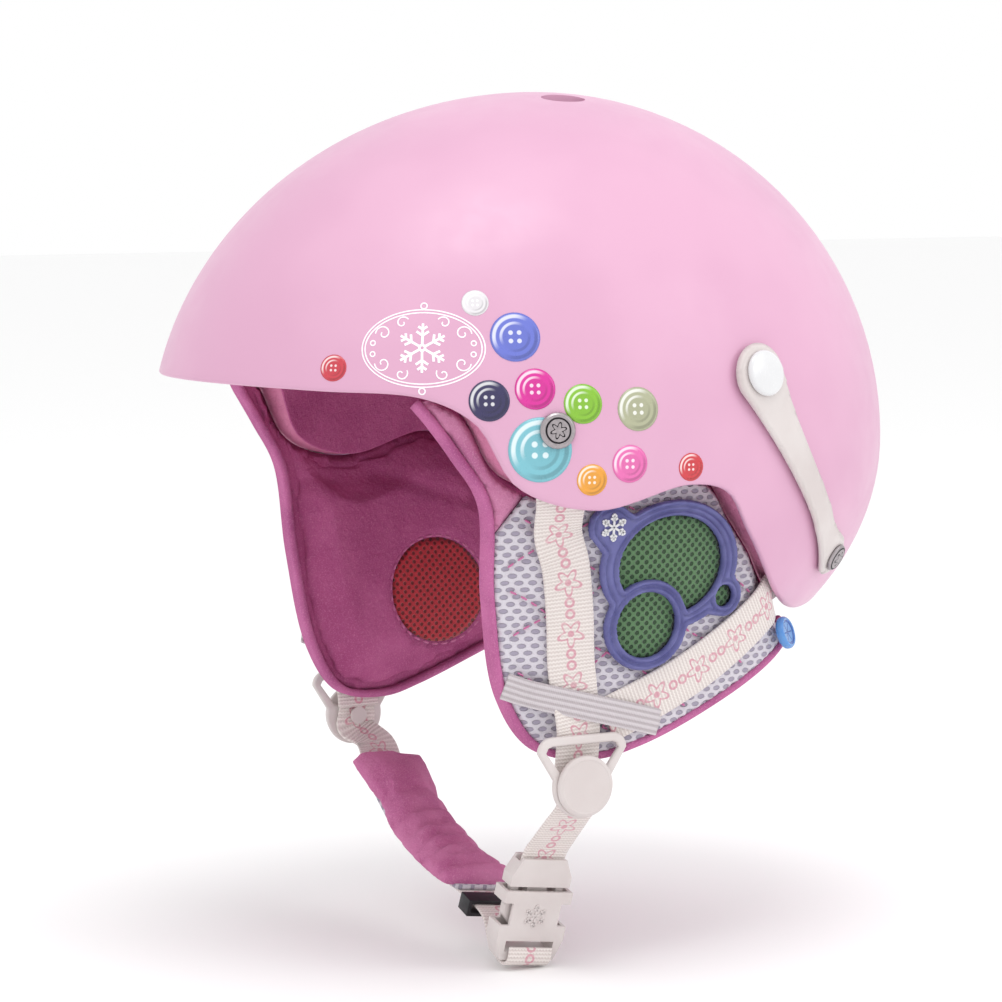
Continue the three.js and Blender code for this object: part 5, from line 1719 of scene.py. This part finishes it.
def build_chin_straps():
    to_buckle = buckle_frame()
    eye = 7.4
    inside_x = YOKE_INSIDE - 0.4 - WEBBING / 2
    top = Vector((inside_x, YOKE_Y, YOKE_PIVOT_Z))
    route = [top, top + Vector((0, 0, -6)), *(on_loop(*p) for p in LEFT_ROUTE),
             to_buckle @ Vector((0, 0, 6.4))]
    line = catmull(route, 70)
    halves = [eye + (WEBBING_WIDTH / 2 - eye) * min(1.0, i / 20) for i in range(71)]
    centres, sizes = with_round_end(line, halves, eye)
    strap = sweep("chin_strap_left_webbing", centres, lambda i: across_loop((i - 8) / 50),
                  lambda i: section(sizes[i], WEBBING))
    finish_piece(strap, MAT_WEBBING, "chin_strap", ["chin_strap_left"])

    outside = -(YOKE_INSIDE - 0.5 - WEBBING / 2)
    top = Vector((outside, YOKE_Y, YOKE_PIVOT_Z))
    link_end = on_loop(RIGHT_ROUTE[0][0], RIGHT_ROUTE[0][1] - 2.4)
    rest = [on_loop(*p) for p in chin_route()]
    line = catmull([top, top + Vector((0, 0, -4)), link_end.lerp(rest[0], 0.4), *rest[1:]], 260)
    halves = [eye + (WEBBING_WIDTH / 2 - eye) * min(1.0, i / 30) for i in range(261)]
    centres, sizes = with_round_end(line, halves, eye)
    strap = sweep("chin_strap_right_webbing", centres, lambda i: across_loop((i - 8) / 50),
                  lambda i: section(sizes[i], WEBBING))
    paint(strap, MAT_WEBBING)
    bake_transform(strap)
    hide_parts("chin_link_right", "chin_strap_right")


def build_chin_pad():
    route = RIGHT_ROUTE[1:-1]
    half = CHIN_PAD_WIDTH / 2
    cover = sweep("chin_pad_cover_cloth", loop_line(route, 70, CHIN_COVER[0] + 0.8),
                  lambda i: loop_rear, lambda i: section(half - 3.0, 1.6))
    finish_piece(cover, MAT_CHIN_SPACER, "chin_tail", ["chin_pad_cover"])
    line = loop_line(route, 90, (CHIN_COVER[0] + CHIN_FLEECE[1]) / 2 + 0.6)
    fleece = sweep("chin_pad_cushion", line, lambda i: loop_rear,
                   lambda i: section(half + 1.4, 6.8, 6))
    inflate(fleece, 2.6, 3.4, 12.0)
    inner = [np.array(p) for p in loop_line(route, 90, CHIN_COVER[0] + 0.7)]
    centres = np.array(inner)
    ahead = np.gradient(centres, axis=0)
    ahead /= np.linalg.norm(ahead, axis=1)[:, None]
    ups = np.cross(np.array(loop_rear), ahead)
    if ups[45][2] < 0:
        ups = -ups
    at = np.concatenate([[0], np.cumsum(np.linalg.norm(np.diff(centres, axis=0), axis=1))])
    for vertex in fleece.data.vertices:
        place = np.array(vertex.co) / MM
        k = int(np.argmin(np.linalg.norm(centres - place, axis=1)))
        height = (place - centres[k]) @ ups[k]
        if height < 0:
            place = place - ups[k] * height
            height = 0.0
        across = (place - centres[k]) @ np.array(loop_rear)
        along = at[k] + 1.6 * math.sin(across / 5.0)
        crease = 0.0
        for centre, depth, width in CHIN_CREASES:
            crease += depth * math.exp(-(((along - centre) / width) ** 2))
        share = float(smoothstep(0.5, 4.5, height))
        place = place - ups[k] * crease * share
        vertex.co = Vector(place) * MM
    fleece.data.shade_smooth()
    finish_piece(fleece, MAT_CHIN, "chin_tail", ["chin_pad_fleece"])


# Creases across the chin pad, by distance from its first end: (place, depth, half width).
CHIN_CREASES = [(25, 1.6, 3.4), (37, 2.4, 3.2), (48, 2.7, 3.0), (58, 2.2, 2.6), (67, 2.7, 2.6),
                (75, 2.0, 2.4), (82, 2.2, 2.2)]


def build_buckle():
    parts = (
        ("buckle_plug", "chin_strap", "ivory", MAT_IVORY, 0.5),
        ("buckle_prong_front", "prong_front", "ivory", MAT_IVORY, 0.35),
        ("buckle_prong_rear", "prong_rear", "ivory", MAT_IVORY, 0.35),
        ("buckle_housing", "chin_tail", "ivory", MAT_IVORY, 0.5),
        ("strap_keeper", "chin_tail", "black_rubber", MAT_BLACK, 0.3),
    )
    for node, body, slot, material, width in parts:
        finish_piece(bevelled_copy(node, width), material, body, [node])
    to_buckle = buckle_frame()
    face = to_buckle @ Matrix.Rotation(-math.pi / 2, 4, "X")
    face = Matrix.Translation(to_buckle.to_3x3() @ Vector((0, 4.2, -8.6))) @ face
    flake = ribbon_strokes("buckle_snowflake", snowflake(4.2), 0.7, face, -0.15, 0.45)
    finish_piece(flake, MAT_IVORY, "chin_tail")


# ---------------------------------------------------------------- prints on the shell

BUTTON_PRINTS = [
    ("red", (58.6, -106, 31.4), 8.6, srgb(214, 62, 78)),
    ("white", (78.1, -65.9, 51.7), 8.6, srgb(240, 236, 240)),
    ("periwinkle", (86.7, -56.3, 41.2), 16, srgb(110, 122, 216)),
    ("navy", (88, -66.3, 21.5), 13, srgb(50, 44, 92)),
    ("magenta", (92.6, -52.4, 25), 13, srgb(226, 40, 160)),
    ("lime", (97.4, -37.8, 20.1), 12.6, srgb(140, 200, 50)),
    ("sage", (100.7, -19.6, 18), 14, srgb(182, 184, 152)),
    ("teal", (95.1, -52, 6), 20.5, srgb(128, 200, 214)),
    ("orange", (99.3, -35.6, -3.9), 10, srgb(246, 168, 52)),
    ("pink", (101.5, -23, 0.8), 12, srgb(240, 112, 184)),
    ("crimson", (103, -1.2, -1.1), 9, srgb(216, 56, 66)),
]
SCROLL_CENTRE = (74.8, -83, 37.9)
PRINT_LIFT = 0.1


def print_frame(centre):
    point = drape([centre], 0.0)[0]
    return frame_along(point, dome_normal(point))


def print_disc(name, centre, radius, side):
    """A thin round patch that follows the shell, with its own flat UV in millimetres."""
    matrix = print_frame(centre)
    steps, rings = 56, 8
    verts, faces, uv = [matrix.translation.copy()], [], [(0.0, 0.0)]
    flat = [matrix.translation.copy()]
    for ring in range(1, rings + 2):
        share = min(1.0, ring / rings)
        for k in range(steps):
            angle = 2 * math.pi * k / steps
            x, y = radius * share * math.cos(angle), radius * share * math.sin(angle)
            flat.append(matrix @ Vector((x, y, 0)))
            uv.append((side * x, y))
    last = 1 + rings * steps
    verts = drape(flat[:last], PRINT_LIFT) + drape(flat[last:], -0.2)
    for k in range(steps):
        faces.append((0, 1 + k, 1 + (k + 1) % steps))
    for ring in range(rings):
        for k in range(steps):
            a, b = 1 + ring * steps, 1 + (ring + 1) * steps
            j = (k + 1) % steps
            faces.append((a + k, b + k, b + j, a + j))
    obj = make(name, verts, faces, side, uv)
    outwards(obj)
    return obj


def outwards(obj):
    """Turns an open patch's faces away from the helmet's middle."""
    work = bmesh.new()
    work.from_mesh(obj.data)
    middle = sum((v.co for v in work.verts), Vector()) / len(work.verts)
    normal = sum((f.normal * f.calc_area() for f in work.faces), Vector())
    if normal.dot(middle) < 0:
        bmesh.ops.reverse_faces(work, faces=work.faces)
    work.to_mesh(obj.data)
    work.free()


def arc(x, y, radius, start, end, count=20):
    angles = np.radians(np.linspace(start, end, count))
    return [(x + radius * math.cos(a), y + radius * math.sin(a)) for a in angles]


def spiral(x, y, turn, hand, turns=1.2, start=2.9):
    """A scroll that winds in to (x, y)."""
    points = []
    for share in np.linspace(0, 1, 30):
        angle = math.radians(turn) + hand * share * turns * 2 * math.pi
        radius = start * (1 - 0.82 * share)
        points.append((x + radius * math.cos(angle), y + radius * math.sin(angle)))
    return points


def scroll_strokes():
    """An oval frame with scrolls round its inside and a small ring at its top and bottom."""
    angles = np.linspace(0, 2 * math.pi, 90)
    strokes = [[(19.6 * math.cos(a), 12.6 * math.sin(a)) for a in angles]]
    strokes.append([(18.6 * math.cos(a), 11.6 * math.sin(a)) for a in angles])
    for sign in (1, -1):
        strokes.append(arc(0, sign * 13.9, 1.0, 0, 360))
        for hand in (1, -1):
            strokes.append(spiral(hand * 12.6, sign * 4.9, 90 - 90 * hand, hand * sign, 1.1, 2.7))
            strokes.append(spiral(hand * 6.6, sign * 8.3, 90 + 60 * hand, -hand * sign, 1.0, 2.2))
            strokes.append(arc(hand * 16.0, sign * 1.8, 0.8, 0, 360, 14))
    strokes += [arc(0, 0, 1.1, 0, 360, 16)]
    return strokes


def build_prints():
    for side, sign in SIDES:
        for name, centre, size, colour in BUTTON_PRINTS:
            disc = print_disc("print_" + name + "_" + side, centre, size / 2, sign)
            material = bpy.data.materials.get("print_" + name)
            if material is None:
                material = print_material("print_" + name, colour, size / 2)
            finish_piece(disc, material, "helmet")
        matrix = print_frame(SCROLL_CENTRE)
        lines = ribbon_strokes("print_scroll_" + side, scroll_strokes(), 0.42, matrix,
                               -0.1, 0.2, sign, on_shell=True)
        finish_piece(lines, MAT_INK, "helmet")
        flake = ribbon_strokes("print_snowflake_" + side, snowflake(8.0), 0.8, matrix, -0.1, 0.2, sign,
                               on_shell=True)
        finish_piece(flake, MAT_INK, "helmet")


# ---------------------------------------------------------------- camera, light and floor

CAMERA_AZIMUTH, CAMERA_ELEVATION, CAMERA_DISTANCE = 60.5, 5.0, 1.25
CAMERA_LENS, CAMERA_SHIFT = 130.9, (-0.034, -0.062)


def build_camera():
    azimuth, elevation = math.radians(CAMERA_AZIMUTH), math.radians(CAMERA_ELEVATION)
    back = Vector((
        math.sin(azimuth) * math.cos(elevation),
        -math.cos(azimuth) * math.cos(elevation),
        math.sin(elevation),
    ))
    camera = bpy.data.objects.new("camera", bpy.data.cameras.new("camera"))
    bpy.context.scene.collection.objects.link(camera)
    camera.location = back * CAMERA_DISTANCE
    camera.rotation_euler = (-back).to_track_quat("-Z", "Y").to_euler()
    camera.data.lens = CAMERA_LENS
    camera.data.sensor_width = 36.0
    camera.data.shift_x, camera.data.shift_y = CAMERA_SHIFT
    bpy.context.scene.camera = camera


def area_light(name, place, target, size, power):
    data = bpy.data.lights.new(name, "AREA")
    data.shape = "DISK"
    data.size = size
    data.energy = power
    light = bpy.data.objects.new(name, data)
    bpy.context.scene.collection.objects.link(light)
    light.location = place
    light.rotation_euler = (Vector(target) - Vector(place)).to_track_quat("-Z", "Y").to_euler()


def build_studio():
    scene = bpy.context.scene
    scene.view_settings.view_transform = "Standard"
    world = bpy.data.worlds.new("studio")
    world.use_nodes = True
    world.node_tree.nodes["Background"].inputs["Color"].default_value = (1, 1, 1, 1)
    world.node_tree.nodes["Background"].inputs["Strength"].default_value = 1.0
    scene.world = world
    area_light("top", (0.5, -0.2, 1.6), (0, 0, 0.05), 0.9, 8)
    area_light("rear", (1.1, 0.9, 0.7), (0, 0, 0), 0.7, 2.5)
    reach = 6000
    low = CAD_BOX[0][2] / MM - 0.2
    floor = make("floor", [(-reach, -reach, low), (reach, -reach, low), (reach, reach, low),
                           (-reach, reach, low)], [(0, 1, 2, 3)], smooth=False)
    if floor.data.polygons[0].normal.z < 0:
        floor.data.flip_normals()
    paint(floor, floor_material())


build_camera()
build_shell()
build_comfort_pads()
build_ear_pad_cushion()
build_ear_pads()
build_straps()
build_rivets()
build_goggle_arms()
build_yokes()
build_chin_straps()
build_chin_pad()
build_buckle()
build_prints()
build_studio()
